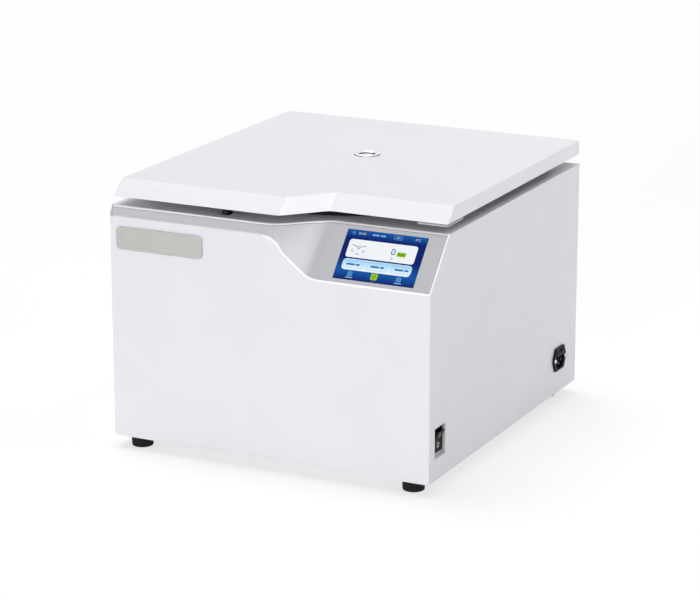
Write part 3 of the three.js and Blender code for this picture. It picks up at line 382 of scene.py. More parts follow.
def shell_paint():
    """White, with the grey of the low strip run over the inner half of the front's cut edge.

    The edge's left end is a little duller, and its rounded outer rim gets a painted highlight where it leans up
    and to the front.
    """
    strip_share = 0.65
    end_share = 0.8
    rim_highlight_share = 1.15
    end = 6 * mm
    leans = (0.2, 0.4)
    finish = coated("shell_paint", WHITE)
    side = cabinet_high.x - 0.3 * mm
    front = cabinet_low.y
    back = front + 9 * mm
    inner_half = (front + 1.2 * mm, back)
    behind_rim = (front + 0.4 * mm, back)
    upper = (cabinet_high.z - 24 * mm, FAR)
    strip = finish.within((-side, FAR), inner_half, upper)
    before_bend = finish.band(finish.axes()["X"], bend_left - 8 * mm, bend_left + 2 * mm, 1, 0)
    finish.shade(finish.both(strip, before_bend), strip_share)
    left_end = finish.within((-side, end - side), behind_rim, upper)
    finish.shade(finish.both(left_end, finish.turned_to(UP, 0.1, 0.2)), end_share)
    # painted highlight: the cut edge's rim that leans up and to the front is made paler, as if it caught the light
    rim = finish.both(finish.turned_to(UP, *leans), finish.turned_to(FRONT, *leans))
    finish.shade(rim, rim_highlight_share)
    return finish.material


def bezel_paint():
    """Grey, with painted light: paler on the steep strip, which faces the light more, and a painted highlight on
    the bend.
    """
    # painted light and a painted highlight, as shares of the grey
    strip_share = 1.16
    bend_highlight_share = 1.24
    finish = coated("bezel_paint", GREY, 0.29, 0.34)
    x = finish.axes()["X"]
    start = (bend_left - 6 * mm, bend_left + 12 * mm)
    end = (bend_right - 12 * mm, bend_right + 4 * mm)
    # painted light: the steep strip is made paler
    finish.shade(finish.band(x, *start, 1, 0), strip_share)
    # painted highlight: the bend between the strip and the panel is made paler, as a glossy reflection would
    finish.shade(finish.both(finish.band(x, *start), finish.band(x, *end, 1, 0)), bend_highlight_share)
    return finish.material


def lid_paint():
    """White, with painted light: painted shade on the upright front, a painted highlight on the front's bend, and
    painted light on the upright right side.
    """
    front_shade_share = 0.92
    bend_highlight_share = 1.2
    side_light_share = 1.08
    finish = coated("lid_paint", WHITE, 0.29, 0.33, 0.15)
    # painted shade: the upright front is made duller
    finish.shade(finish.turned_to(FRONT, 0.5, 0.7), front_shade_share)
    # painted highlight on the front's bend, which turns to the right
    bend = finish.both(finish.turned_to(RIGHT, 0.15, 0.4), finish.turned_to(FRONT, 0.3, 0.6))
    finish.shade(bend, bend_highlight_share)
    # painted light: the upright right side is made paler
    finish.shade(finish.turned_to(RIGHT, 0.93, 0.98), side_light_share)
    return finish.material


def deck_paint():
    """White, with a duller cut edge beside the panel."""
    edge_share = 0.74
    reach = 70 * mm
    skin = 0.25 * mm
    finish = coated("deck_paint", DECK_WHITE)
    edge = finish.within((bend_right, FAR), (-FAR, cabinet_low.y + reach), (-FAR, deck_top - skin))
    finish.shade(edge, edge_share)
    return finish.material


def brushed(name, colour, stretch, low=0.24, high=0.42):
    """Metal with fine scratches along the axis that stretch squeezes, or in every direction."""
    finish = Finish(name, colour, low, 1.0)
    lines = finish.noise(finish.place(stretch), 0.5 * mm, 4)
    finish.tint(lines, 0.10)
    finish.gloss(lines, low, high)
    finish.relief(lines, 0.01 * mm, 0.35)
    finish.relief(finish.noise(finish.place(), 40 * mm, 2), 0.05 * mm, 0.15)
    return finish.material


def turned_metal(name, colour, centre=None, low=0.2, high=0.38, pitch=0.5 * mm):
    """Metal off a lathe or a spinning former: rings about its axis, and faint clouds."""
    finish = Finish(name, colour, low, 1.0)
    rings = finish.noise(finish.rings(centre), pitch, 3)
    finish.tint(rings, 0.08)
    finish.gloss(rings, low, high)
    finish.relief(rings, 0.012 * mm, 0.4)
    finish.relief(finish.noise(finish.place(), 30 * mm, 2), 0.08 * mm, 0.2)
    return finish.material


def plain_metal(name, colour, low=0.3, high=0.45):
    """Plated or blackened metal with small smudges of gloss."""
    finish = Finish(name, colour, low, 1.0)
    place = finish.place()
    finish.tint(finish.noise(place, 3 * mm, 4), 0.12)
    finish.gloss(finish.noise(place, 1.2 * mm, 3), low, high)
    finish.relief(finish.noise(place, 0.3 * mm, 2), 0.01 * mm, 0.4)
    return finish.material


def moulded(name, colour, low=0.38, high=0.5, grain=0.32 * mm, coat=0.0, level=0.5, ior=1.5):
    """Moulded plastic with a spark-eroded grain."""
    finish = Finish(name, colour, low, coat_weight=coat, specular_ior_level=level, ior=ior)
    place = finish.place()
    finish.tint(finish.noise(place, 12 * mm, 3), 0.05)
    finish.gloss(finish.noise(place, 2 * mm, 3), low, high)
    finish.relief(finish.noise(place, grain, 2), 0.012 * mm, 0.6)
    return finish.material


def rubber(name, colour):
    """Moulded rubber: dull, with a dusty bloom and a fine tooth."""
    finish = Finish(name, colour, 0.75, specular_ior_level=0.35, ior=1.3)
    place = finish.place()
    finish.tint(finish.noise(place, 5 * mm, 4), 0.3)
    finish.gloss(finish.noise(place, 3 * mm, 3), 0.62, 0.86)
    finish.relief(finish.noise(place, 0.4 * mm, 3), 0.03 * mm, 0.5)
    return finish.material


def clear_glass(name, colour):
    """A slightly milky acrylic pane."""
    finish = Finish(name, colour, 0.05, transmission_weight=0.35, ior=1.47)
    finish.relief(finish.noise(finish.place(), 8 * mm, 1), 0.01 * mm, 0.3)
    return finish.material


def circuit_board(name, colour):
    """Solder mask over copper: blocks of slightly different green, and fine tracks."""
    finish = Finish(name, colour, 0.35, coat_weight=0.4)
    cells = finish.texture("TexVoronoi", finish.place(), 3 * mm, distance="MANHATTAN")
    finish.tint(cells.outputs["Distance"], 0.35, 0.2)
    finish.relief(cells.outputs["Distance"], 0.06 * mm, 0.5)
    return finish.material


def display(name, colour):
    """A finish that glows faintly and reflects little, as a display does behind its cover."""
    return Finish(name, colour, roughness=0.12, specular_ior_level=0.06, emission_strength=0.1)


def shown_colour(name, colour):
    """A colour on the display: the fine grid of its dots shows close up."""
    finish = display(name, colour)
    dots = finish.texture("TexChecker", finish.place(), 0.135 * mm)
    finish.tint(dots.outputs["Fac"], 0.02, 0.5)
    fill(finish.shader, emission_color=(*colour, 1))
    return finish.material


FINISHES = {
    "white_paint": coated("white_paint", WHITE).material,
    "lid_paint": lid_paint(),
    "grey_paint": bezel_paint(),
    "deck_paint": deck_paint(),
    "silver_plate": brushed("silver_plate", (0.465, 0.455, 0.44), ALONG_X, 0.34, 0.5),
    "bright_steel": plain_metal("bright_steel", STEEL),
    "dark_steel": plain_metal("dark_steel", (0.16, 0.165, 0.175), 0.38, 0.52),
    "iron_core": brushed("iron_core", (0.12, 0.12, 0.125), (1, 1, 1), 0.4, 0.6),
    "aluminium": plain_metal("aluminium", ALUMINIUM, 0.3, 0.42),
    "black_rubber": rubber("black_rubber", (0.010, 0.011, 0.011)),
    "black_plastic": moulded("black_plastic", (0.006, 0.007, 0.008), level=0.3, ior=1.22),
    "grey_plastic": moulded("grey_plastic", (0.42, 0.43, 0.44)),
    "light_plastic": moulded("light_plastic", (0.72, 0.73, 0.74), 0.22, 0.3, coat=0.3),
    "clear_glass": clear_glass("clear_glass", (0.94, 0.96, 0.97)),
    "circuit_board": circuit_board("circuit_board", (0.02, 0.13, 0.06)),
    "cable_sheath": rubber("cable_sheath", (0.02, 0.02, 0.022)),
}
SPUN_STEEL = turned_metal("spun_steel", STEEL, low=0.16, high=0.32, pitch=0.8 * mm)
TURNED_ALUMINIUM = turned_metal("turned_aluminium", ALUMINIUM)
TURNED_STEEL = turned_metal("turned_steel", (0.62, 0.63, 0.64), pitch=0.4 * mm)
MILLED_ALUMINIUM = turned_metal("milled_aluminium", (0.56, 0.57, 0.585), spin, 0.26, 0.42)
CHROME = turned_metal("chrome_ring", (0.77, 0.77, 0.79), low=0.14, high=0.24, pitch=0.4 * mm)
# painted shade: the inlet's bright pins are made dark for the shade deep in their socket
PAINTED_SHADE_PINS = plain_metal("pins_painted_shade", (0.10, 0.10, 0.10), 0.4, 0.55)
POCKET_WHITE = moulded("pocket_white", (0.74, 0.735, 0.76))
HOOK_BLACK = plain_metal("hook_black", (0.03, 0.03, 0.032), 0.45, 0.6)
BRUSHED_STEEL = brushed("brushed_steel", STEEL, ALONG_X)


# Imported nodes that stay: clean faces, softened edges, smooth bends

SHARP = math.radians(38)  # edges over this angle are shaded sharp
ROUNDED = math.radians(28)  # edges over this angle are rounded


def smoothing_group():
    """Shades every face smooth, but keeps the edges over an angle sharp."""
    group = bpy.data.node_groups.new("smooth_by_angle", "GeometryNodeTree")
    group.is_modifier = True
    for way in ("INPUT", "OUTPUT"):
        group.interface.new_socket("Geometry", in_out=way, socket_type="NodeSocketGeometry")
    start = group.nodes.new("NodeGroupInput")
    faces = group.nodes.new("GeometryNodeSetShadeSmooth")
    edges = group.nodes.new("GeometryNodeSetShadeSmooth")
    edges.domain = "EDGE"
    fill(edges, shade_smooth=False)
    angle = group.nodes.new("GeometryNodeInputMeshEdgeAngle")
    over = group.nodes.new("FunctionNodeCompare")
    over.operation = "GREATER_THAN"
    fill(over, b=SHARP)
    end = group.nodes.new("NodeGroupOutput")
    group.links.new(start.outputs[0], faces.inputs["Geometry"])
    group.links.new(faces.outputs[0], edges.inputs["Geometry"])
    group.links.new(angle.outputs["Unsigned Angle"], over.inputs["A"])
    group.links.new(over.outputs[0], edges.inputs["Selection"])
    group.links.new(edges.outputs[0], end.inputs[0])
    return group


SMOOTHING = smoothing_group()


def soften(obj, width):
    """Rounds a piece's edges by width, and shades its faces and bends clean."""
    obj.modifiers.new("weld", "WELD").merge_threshold = 0.01 * mm
    if width:
        clean = obj.modifiers.new("clean", "DECIMATE")
        clean.decimate_type = "DISSOLVE"
        clean.angle_limit = math.radians(0.5)
        bevel = obj.modifiers.new("edges", "BEVEL")
        bevel.width = width
        bevel.segments = 2
        bevel.limit_method = "ANGLE"
        bevel.angle_limit = ROUNDED
        bevel.use_clamp_overlap = True
    obj.modifiers.new("smooth", "NODES").node_group = SMOOTHING
    obj.modifiers.new("normals", "WEIGHTED_NORMAL").keep_sharp = True


EDGES = {  # widths in millimetres
    "cabinet_shell": 0.5, "base_tray": 0.4, "rear_panel": 0.4, "top_deck": 0.4, "control_bezel": 0.3,
    "name_plate": 0.6, "lid_cover": 0.9, "lid_liner": 0.5, "lid_corner_pad": 0.5, "latch_hook": 0.5,
    "lock_body": 0.6, "lock_bolt": 0.4, "rotor_head": 0.8, "switch_pocket": 0.3, "switch_frame": 0.4,
    "power_rocker": 0.5, "inlet_body": 0.4, "fuse_drawer": 0.3, "display_glass": 0.15,
    "display_module": 0.5, "heat_sink": 0.3, "drive_board": 0.2, "control_board": 0.2,
}
OWN_FINISH = {
    "base_tray": BRUSHED_STEEL, "lid_liner": BRUSHED_STEEL, "rotor_head": MILLED_ALUMINIUM,
    "inlet_pin_line": PAINTED_SHADE_PINS, "inlet_pin_neutral": PAINTED_SHADE_PINS, "inlet_pin_earth": PAINTED_SHADE_PINS,
    "switch_pocket": POCKET_WHITE, "cabinet_shell": shell_paint(), "latch_hook": HOOK_BLACK,
}


def dress_nodes():
    for row in frame["record"]["subparts"]:
        node = frame["nodes"][row["node"]]
        soften(node, EDGES.get(row["node"], 0) * mm)
        finish = OWN_FINISH.get(row["node"]) or FINISHES.get(row["material_slot"])
        for place in node.material_slots:
            place.material = finish


# Forms

def rounded(points):
    """An outline of (x, y) points, with an arc at each one that gives a third value, its radius."""
    steps = 5
    done = []
    for index, (x, y, *radius) in enumerate(points):
        corner = Vector((x, y))
        if not radius:
            done.append(corner)
            continue
        before = (Vector(points[index - 1][:2]) - corner).normalized()
        after = (Vector(points[(index + 1) % len(points)][:2]) - corner).normalized()
        half = before.angle(after) / 2
        start = before * radius[0] / math.tan(half)
        end = after * radius[0] / math.tan(half)
        centre = (before + after).normalized() * radius[0] / math.sin(half)
        for step in range(steps + 1):
            spoke = (start - centre).slerp(end - centre, step / steps)
            done.append(corner + centre + spoke * radius[0])
    return done


def rectangle(wide, high, corner, x=0.0, y=0.0):
    """A rectangle's outline about (x, y), with round corners."""
    return rounded([(x + i * wide / 2, y + j * high / 2, corner) for i, j in SQUARE])


def circle(radius, x, y):
    turns = [TURN * step / SMALL for step in range(SMALL)]
    return [Vector((x + radius * math.cos(turn), y + radius * math.sin(turn))) for turn in turns]


def lathe(profile, centre=(0, 0, 0), facets=LARGE, swell=None):
    """Turns an outline of (radius, height) about the vertical through centre.

    The outline closes on itself or on the axis. swell gives another radius for a radius and an angle.
    """
    form = bmesh.new()
    turned = form.verts.layers.float_vector.new("turned")
    centre = Vector(centre)
    rows = []
    for r, z in rounded(profile):
        row = []
        for step in range(facets if r > 0 else 1):
            angle = TURN * step / facets
            out = swell(r, angle) if swell else r
            vertex = form.verts.new(centre + Vector((out * math.cos(angle), out * math.sin(angle), z)))
            vertex[turned] = (r, z, 0)
            row.append(vertex)
        rows.append(row)
    for one, two in zip(rows, rows[1:] + rows[:1]):
        for step in range(facets if len(one) + len(two) > 2 else 0):
            after = (step + 1) % facets
            near, far = ((row[step % len(row)], row[after % len(row)]) for row in (one, two))
            form.faces.new(dict.fromkeys((*near, *reversed(far))))
    return form


def prism(form, outer, low, high, inner=None):
    """Adds a closed flat solid between two heights. An inner outline of as many points makes a hole."""
    rims = [[[form.verts.new((x, y, z)) for x, y in rim] for z in (low, high)]
            for rim in (outer, inner) if rim]
    count = len(outer)
    for bottom, top in rims:
        for i in range(count):
            form.faces.new((bottom[i], bottom[i - 1], top[i - 1], top[i]))
    for level in (0, 1):
        outside, *holes = (rim[level] for rim in rims)
        for hole in holes:
            for i in range(count):
                form.faces.new((outside[i - 1], outside[i], hole[i], hole[i - 1]))
        if not holes:
            form.faces.new(outside)
    return form


def baked(name, form):
    """The form as a mesh whose faces look outward. The form is freed."""
    bmesh.ops.recalc_face_normals(form, faces=form.faces)
    mesh = bpy.data.meshes.new(name)
    form.to_mesh(mesh)
    form.free()
    return mesh


def join(form, extra, turn):
    """Adds a copy of another form to a form, turned and moved."""
    mesh = bpy.data.meshes.new("extra")
    extra.to_mesh(mesh)
    mesh.transform(turn)
    form.from_mesh(mesh)
    bpy.data.meshes.remove(mesh)


def carved(form, cutters):
    """The form with other closed forms cut out of it."""
    body = placed("cut_body", baked("cut_body", form))
    tools = [placed("cutter", baked("cutter", cutter)) for cutter in cutters]
    for tool in tools:
        cut = body.modifiers.new("cut", "BOOLEAN")
        cut.object = tool
        cut.solver = "EXACT"
    bpy.context.view_layer.update()
    mesh = bpy.data.meshes.new_from_object(body.evaluated_get(bpy.context.evaluated_depsgraph_get()))
    result = bmesh.new()
    result.from_mesh(mesh)
    for obj in [body, *tools]:
        bpy.data.meshes.remove(obj.data)
    bpy.data.meshes.remove(mesh)
    return result


def add(name, form, body, slot, finish=None, stands_for=(), edge=0.0):
    """Puts a form in the scene as a piece on a body, in its slot's finish or one of its own."""
    bmesh.ops.remove_doubles(form, verts=form.verts, dist=0.0001 * mm)
    mesh = baked(name, form)
    mesh.materials.append(finish or FINISHES[slot])
    piece = placed(name, mesh)
    soften(piece, edge)
    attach(piece, body)
    if stands_for:
        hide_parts(*stands_for)


# Turned and moulded pieces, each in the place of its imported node

def add_chamber():
    """The spun bowl with its flat rim, the two-lipped seal on it, and the shaft's rippled boot."""
    axis = (spin.x, spin.y, 0)
    soft = 1 * mm

    low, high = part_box("chamber_bowl")
    rim = (high.x - low.x) / 2
    wall = rim - 9.5 * mm
    sheet = 1.5 * mm
    corner = 18 * mm
    neck = 34 * mm
    neck_top = low.z + 7.5 * mm
    bowl = [(neck, neck_top), (neck + sheet, neck_top), (neck + sheet, low.z + sheet, soft),
            (wall, low.z + sheet, corner), (wall, high.z, 1.2 * mm), (rim, high.z), (rim, high.z - sheet),
            (wall + sheet, high.z - sheet, soft), (wall + sheet, low.z, corner + sheet), (neck, low.z)]
    add("bowl_spun", lathe(bowl, axis), "cabinet", "bright_steel", SPUN_STEEL, ["chamber_bowl"])

    low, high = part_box("chamber_seal")
    outer = (high.x - low.x) / 2
    inner = outer - 16 * mm
    clip = rim + GAP
    over = low.z + 1.8 * mm
    base = over + 1.4 * mm
    root = high.z - 3.8 * mm
    valley = high.z - 2.2 * mm
    crest = 4.5 * mm
    foot = crest + 0.6 * mm
    half_valley = 0.8 * mm
    centre = (inner + outer) / 2
    lip = [(foot, root, 1.5 * mm), (crest, high.z, 1.4 * mm), (half_valley, high.z, soft)]
    seal = [(inner, over), (clip, over), (clip, low.z, 0.4 * mm), (outer, low.z, 0.6 * mm),
            (outer, base, soft), *((centre + out, *rest) for out, *rest in lip), (centre, valley, soft),
            *((centre - out, *rest) for out, *rest in reversed(lip)), (inner, base, soft)]
    add("seal_lipped", lathe(seal, axis), "cabinet", "black_rubber", None, ["chamber_seal"])

    low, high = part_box("shaft_boot")
    wall = 3 * mm
    clip = neck + sheet + GAP
    foot = clip + wall
    inner = 11 * mm
    neck_seat = neck_top + GAP
    fold_round = 0.9 * mm
    bulge = 2.4 * mm
    drop = 1.5 * mm
    crease = 0.4 * mm
    ripple = [(foot, low.z, 0.8 * mm), (foot, neck_top + wall, 2 * mm)]
    steps = 3
    for step in range(steps):
        share = (step + 1) / (steps + 1)
        out = foot * (1 - share) + (inner + wall) * share
        rise = (neck_top + wall) * (1 - share) + high.z * share
        ripple += [(out + bulge, rise - drop, fold_round), (out + crease, rise + crease, fold_round)]
    boot = [(clip, low.z), *ripple, (inner + wall, high.z - 2 * mm, soft),
            (inner + wall, high.z, fold_round), (inner, high.z, fold_round), (inner, high.z - 2 * wall),
            (clip - 2 * wall, neck_seat), (clip, neck_seat)]
    add("boot_rippled", lathe(boot, axis, MEDIUM), "cabinet", "black_rubber", None, ["shaft_boot"])


def add_feet():
    """Tapered rubber feet, each with a shallow hollow inside a rolled tread, and a stud."""
    flare = 0.7 * mm
    tread = 13.4 * mm
    inside = tread - 5 * mm
    hollow = 1.2 * mm
    shoulder = 2.4 * mm
    stud = 3 * mm
    for node in ("foot_front_left", "foot_front_right", "foot_rear_left", "foot_rear_right"):
        low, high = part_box(node)
        top = cabinet_low.z - GAP
        wide = (high.x - low.x) / 2 + flare
        profile = [(0, hollow), (inside, hollow, 0.5 * mm), (inside + 0.6 * mm, low.z, 0.4 * mm),
                   (tread + 0.3 * mm, low.z, 1.6 * mm),
                   (wide - 0.4 * mm, top - shoulder - 1 * mm, 2 * mm), (wide, top - shoulder, 0.8 * mm),
                   (wide, top, 0.6 * mm), (stud, top), (stud, high.z), (0, high.z)]
        centre = middle(node)
        form = lathe(profile, (centre.x, centre.y, 0), STOUT)
        add(node + "_moulded", form, "cabinet", "black_rubber", None, [node])


def add_port():
    """The lid's sight port: a bright ring on a dark gasket, and a round glass in another, whose black ring above
    the glass also stands for the shade on the port's far inner wall.
    """
    centre = middle("window_ring")
    axis = (centre.x, centre.y, 0)
    glass_low, glass_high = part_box("window_pane")
    inner = 11 * mm
    lap = 0.2 * mm
    lip = 1.1 * mm
    lip_top = glass_high.z + 0.9 * mm
    # a black rubber ring above the glass, which also stands for the shade that falls on the port's far inner wall
    inner_gasket = [(inner - lip, glass_high.z), (inner + lap, glass_high.z), (inner + lap, lip_top),
                    (inner - lip, lip_top)]
    add("port_inner_gasket_as_shade", lathe(inner_gasket, axis), "lid", "black_rubber", edge=0.2 * mm)

    low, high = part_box("window_ring")
    edge = (high.x - low.x) / 2
    sleeve = 14 * mm
    ledge = 8.5 * mm
    seat = lid_top + GAP
    shelf = glass_low.z - GAP
    round_top = 0.9 * mm
    ring = [(sleeve, low.z), (sleeve, seat), (edge - 0.3 * mm, seat), (edge, high.z - 0.8 * mm, 0.3 * mm),
            (edge - 1.6 * mm, high.z, round_top), (inner + 2.2 * mm, high.z, round_top),
            (inner, high.z - 1.5 * mm, 0.3 * mm), (inner, shelf), (ledge, shelf), (ledge, low.z)]
    add("port_ring", lathe(ring, axis), "lid", "bright_steel", CHROME, ["window_ring"])

    rim = inner - GAP
    pane = [(0, glass_low.z), (rim, glass_low.z), (rim, glass_high.z, 0.5 * mm), (0, glass_high.z)]
    add("port_glass", lathe(pane, axis, MEDIUM), "lid", "clear_glass", None, ["window_pane"])

    inside = edge - 1.2 * mm
    outside = edge + 0.3 * mm
    gasket_top = lid_top + 0.28 * mm
    gasket = [(inside, lid_top), (outside, lid_top), (outside, gasket_top, 0.12 * mm),
              (inside, gasket_top)]
    add("port_gasket", lathe(gasket, axis), "lid", "black_rubber")


def add_nut():
    """The rotor's hexagon nut, with a round dome on top."""
    low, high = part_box("rotor_nut")
    hexagon = 14 * mm
    flats = 6
    bore = 6.3 * mm
    collar = 7.2 * mm
    dome = high.z - 6 * mm
    half = math.pi / flats
    core = 7 * mm

    def on_flat(r, angle):
        """The radius, held within the hexagon's flats where it is over the core's radius."""
        if r < core:
            return r
        return min(r, hexagon * math.cos(half) / math.cos(angle % (2 * half) - half))

    nut = [(bore, low.z), (hexagon - 1.2 * mm, low.z), (hexagon, low.z + 0.8 * mm),
           (hexagon, dome - 1 * mm), (hexagon - 2.2 * mm, dome), (hexagon - 2.6 * mm, dome + 0.2 * mm),
           (hexagon - 4.4 * mm, high.z, 2 * mm), (collar, high.z, 0.5 * mm), (bore, high.z - 1.2 * mm)]
    form = lathe(nut, (spin.x, spin.y, 0), 20 * flats, swell=on_flat)
    add("nut_turned", form, "rotor", "bright_steel", TURNED_STEEL, ["rotor_nut"])


def add_shaft():
    """The motor's shaft, stepped under the rotor and threaded above it."""
    low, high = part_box("motor_shaft")
    thick = 8 * mm
    tip = 6 * mm
    pitch = 1 * mm
    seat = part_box("rotor_nut")[0].z
    step = seat - 32 * mm
    chamfer = 0.8 * mm
    thread = []
    rise = seat + pitch
    while rise < high.z - 2 * pitch:
        thread += [(tip, rise), (tip - pitch / 2, rise + pitch / 2)]
        rise += pitch
    shaft = [(0, low.z), (thick, low.z, chamfer), (thick, step, chamfer), (tip, seat - 10 * mm, 0.4 * mm),
             *thread, (tip, high.z - 1 * mm, 0.3 * mm), (tip - 1 * mm, high.z), (1.6 * mm, high.z),
             (0, high.z - 1.4 * mm)]
    form = lathe(shaft, (spin.x, spin.y, 0), STOUT)
    add("shaft_turned", form, "rotor", "bright_steel", TURNED_STEEL, ["motor_shaft"])


def add_buckets():
    """Four turned buckets, each with three grooves, a rolled rim and two trunnions on bosses."""
    radius = 26 * mm
    inner = radius - 3.5 * mm
    rim = radius + 1.5 * mm
    base = 3.5 * mm
    groove = 0.7 * mm
    deep = radius - groove
    pin = 3.2 * mm
    pin_root = (inner + radius) / 2
    pin_end = 35 * mm
    boss = 6.5 * mm
    boss_root = radius - 2 * mm
    boss_end = radius + 1.4 * mm
    pin_outline = [(0, pin_root), (pin, pin_root), (pin, pin_end, 0.5 * mm), (0, pin_end)]
    boss_outline = [(0, boss_root), (boss, boss_root), (boss - 0.9 * mm, boss_end, 0.5 * mm),
                    (0, boss_end)]
    trunnion = (lathe(pin_outline, facets=TINY), lathe(boss_outline, facets=SMALL))
    for index in range(4):
        node = f"bucket_{index + 1}"
        low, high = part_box(node)
        pivot = Vector(joint(node + "_swing")["pos_m"])
        top = high.z - pivot.z
        under_rim = top - 4 * mm
        bottom = low.z - pivot.z
        profile = [(0, bottom), (radius - 6 * mm, bottom, 1.2 * mm), (radius, bottom + 6 * mm, 1.2 * mm)]
        for step in range(3):
            lift = bottom + (18 + 5 * step) * mm
            profile += [(radius, lift), (deep, lift + groove), (deep, lift + 2 * groove),
                        (radius, lift + 3 * groove)]
        profile += [(radius, under_rim, 0.5 * mm), (rim, under_rim, 0.5 * mm), (rim, top, 0.8 * mm),
                    (inner, top, 0.8 * mm), (inner, bottom + base, 5 * mm), (0, bottom + base)]
        form = lathe(profile, pivot, MEDIUM)
        about = Matrix.Translation(pivot) @ Matrix.Rotation(index * TURN / 4, 4, "Z")
        for side in (-1, 1):
            turn = about @ Matrix.Rotation(side * TURN / 4, 4, "X")
            for part in trunnion:
                join(form, part, turn)
        add(node + "_turned", form, node, "aluminium", TURNED_ALUMINIUM, [node])
    for part in trunnion:
        part.free()


# Prints and marks: closed shapes a layer thick on a flat face

def face_axes(node, fits):
    """Axes about the middle of a node's largest face that fits: across, up and out. And its size."""
    flatness = 0.01 * mm
    level_limit = 0.01
    mesh = frame["nodes"][node].data
    faces = [side for side in mesh.polygons if fits(side.normal, side.center)]
    face = max(faces, key=lambda side: side.area)
    out = face.normal.copy()
    level = UP.cross(out)
    across = level.normalized() if level.length > level_limit else RIGHT
    up = out.cross(across)
    corners = [v.co for v in mesh.vertices if abs((v.co - face.center).dot(out)) < flatness]
    reach = [sorted(corner.dot(axis) for corner in corners) for axis in (across, up)]
    centre = out * face.center.dot(out)
    for axis, places in zip((across, up), reach):
        centre += axis * (places[0] + places[-1]) / 2
    axes = Matrix((across, up, out)).transposed().to_4x4()
    axes.translation = centre
    return axes, [places[-1] - places[0] for places in reach]


class Sketch:
    """Shapes on a face, gathered by ink, each as many layers thick as it says.

    Places and the sizes of panes are shares of the face, from its upper left. All else is in metres.
    """

    least_corner = 0.1 * mm
    stroke_end_share = 0.4  # corner radius of a stroke's ends in its widths
    digit_share = 0.7  # height of a digit in font sizes

    def __init__(self, name, axes, size, body, slot):
        self.name = name
        self.axes = axes
        self.size = size
        self.body = body
        self.slot = slot
        self.forms = {}

    def shape(self, ink, layer, outer, inner=None):
        prism(self.forms.setdefault(ink, bmesh.new()), outer, 0, layer * PRINT, inner)

    def spot(self, u, v):
        return (u - 0.5) * self.size[0], (0.5 - v) * self.size[1]

    def pane(self, ink, layer, u, v, wide, high, corner, line=0.0):
        """A rectangle, or its outline where a line's width is given."""
        x, y = self.spot(u, v)
        wide = wide * self.size[0]
        high = high * self.size[1]
        within = max(corner - line, self.least_corner)
        inner = rectangle(wide - 2 * line, high - 2 * line, within, x, y) if line else None
        self.shape(ink, layer, rectangle(wide, high, corner, x, y), inner)

    def disc(self, ink, layer, u, v, radius, line):
        """A circle drawn as a line."""
        x, y = self.spot(u, v)
        self.shape(ink, layer, circle(radius, x, y), circle(radius - line, x, y))

    def stroke(self, ink, layer, u, v, length, width, degrees):
        """A short straight line about a spot."""
        turn = Matrix.Rotation(math.radians(degrees), 2)
        spot = Vector(self.spot(u, v))
        outline = rectangle(length, width, width * self.stroke_end_share)
        self.shape(ink, layer, [spot + turn @ corner for corner in outline])

    def text(self, ink, layer, words, u, v, high):
        """Plain digits, high metres tall."""
        curve = bpy.data.curves.new("words", "FONT")
        curve.body = words
        curve.size = high / self.digit_share
        curve.align_x = "CENTER"
        curve.align_y = "CENTER"
        curve.extrude = layer * PRINT / 2
        curve.resolution_u = 3
        holder = bpy.data.objects.new("words", curve)
        mesh = bpy.data.meshes.new_from_object(holder)
        mesh.transform(Matrix.Translation((*self.spot(u, v), layer * PRINT / 2)))
        self.forms.setdefault(ink, bmesh.new()).from_mesh(mesh)
        bpy.data.meshes.remove(mesh)
        bpy.data.curves.remove(curve)

    def place(self):
        for ink, form in self.forms.items():
            form.transform(self.axes)
            add(f"{self.name}_{ink}", form, self.body, self.slot, INKS[ink])


SHOWN = {
    "white": (0.74, 0.77, 0.81), "navy": (0.004, 0.05, 0.24), "word": (0.03, 0.14, 0.36),
    "sky": (0.16, 0.46, 0.78), "pale": (0.25, 0.42, 0.66), "green": (0.30, 0.50, 0.01),
    "leaf": (0.06, 0.20, 0.005), "grey": (0.16, 0.18, 0.22), "mist": (0.45, 0.50, 0.58),
}
INKS = {ink: shown_colour("ink_" + ink, colour) for ink, colour in SHOWN.items()}
INKS["mark"] = moulded("mark_print", (0.66, 0.67, 0.67), grain=0.1 * mm)
INKS["etched"] = moulded("etched_print", (0.05, 0.05, 0.055), grain=0.1 * mm)


def graded(name, axes, size, stops):
    """A display colour that runs down the face through stops: a share of the height, and a colour."""
    finish = display(name, stops[0][1])
    up = axes.col[1].to_3d()
    away = finish.vector("SUBTRACT", finish.place(), axes.translation + up * size[1] / 2)[0]
    down = finish.vector("DOT_PRODUCT", away, -up / size[1])["Value"]
    ramp = finish.node("ValToRGB")
    points = ramp.color_ramp.elements
    while len(points) < len(stops):
        points.new(0.5)
    for point, (share, colour) in zip(points, stops):
        point.position = share
        point.color = (*colour, 1)
    finish.link(down, ramp.inputs["Fac"])
    for socket in ("Base Color", "Emission Color"):
        finish.link(ramp.outputs["Color"], finish.shader.inputs[socket])
    return finish.material


def draw_status_bar(ui):
    """A dial, the time, two bars for words, a pill and a temperature."""
    row = 0.068
    line = 0.35 * mm
    digits = 3.2 * mm
    dial, clock, pill, warmth = 0.085, 0.19, 0.64, 0.885
    ui.disc("sky", 1, dial, row, 1.9 * mm, line)
    ui.stroke("sky", 1, dial, row - 0.01, 1.6 * mm, 0.3 * mm, 90)
    ui.text("mist", 1, "00:00", clock, row, digits)
    for u, wide in ((0.36, 0.085), (0.45, 0.06)):
        ui.pane("pale", 1, u, row, wide, 0.026, 0.4 * mm)
    ui.pane("pale", 1, pill, row, 0.105, 0.075, 1.9 * mm, line)
    ui.pane("pale", 1, pill, row, 0.05, 0.02, 0.3 * mm)
    ui.text("mist", 1, "0\u00b0C", warmth, row, digits)


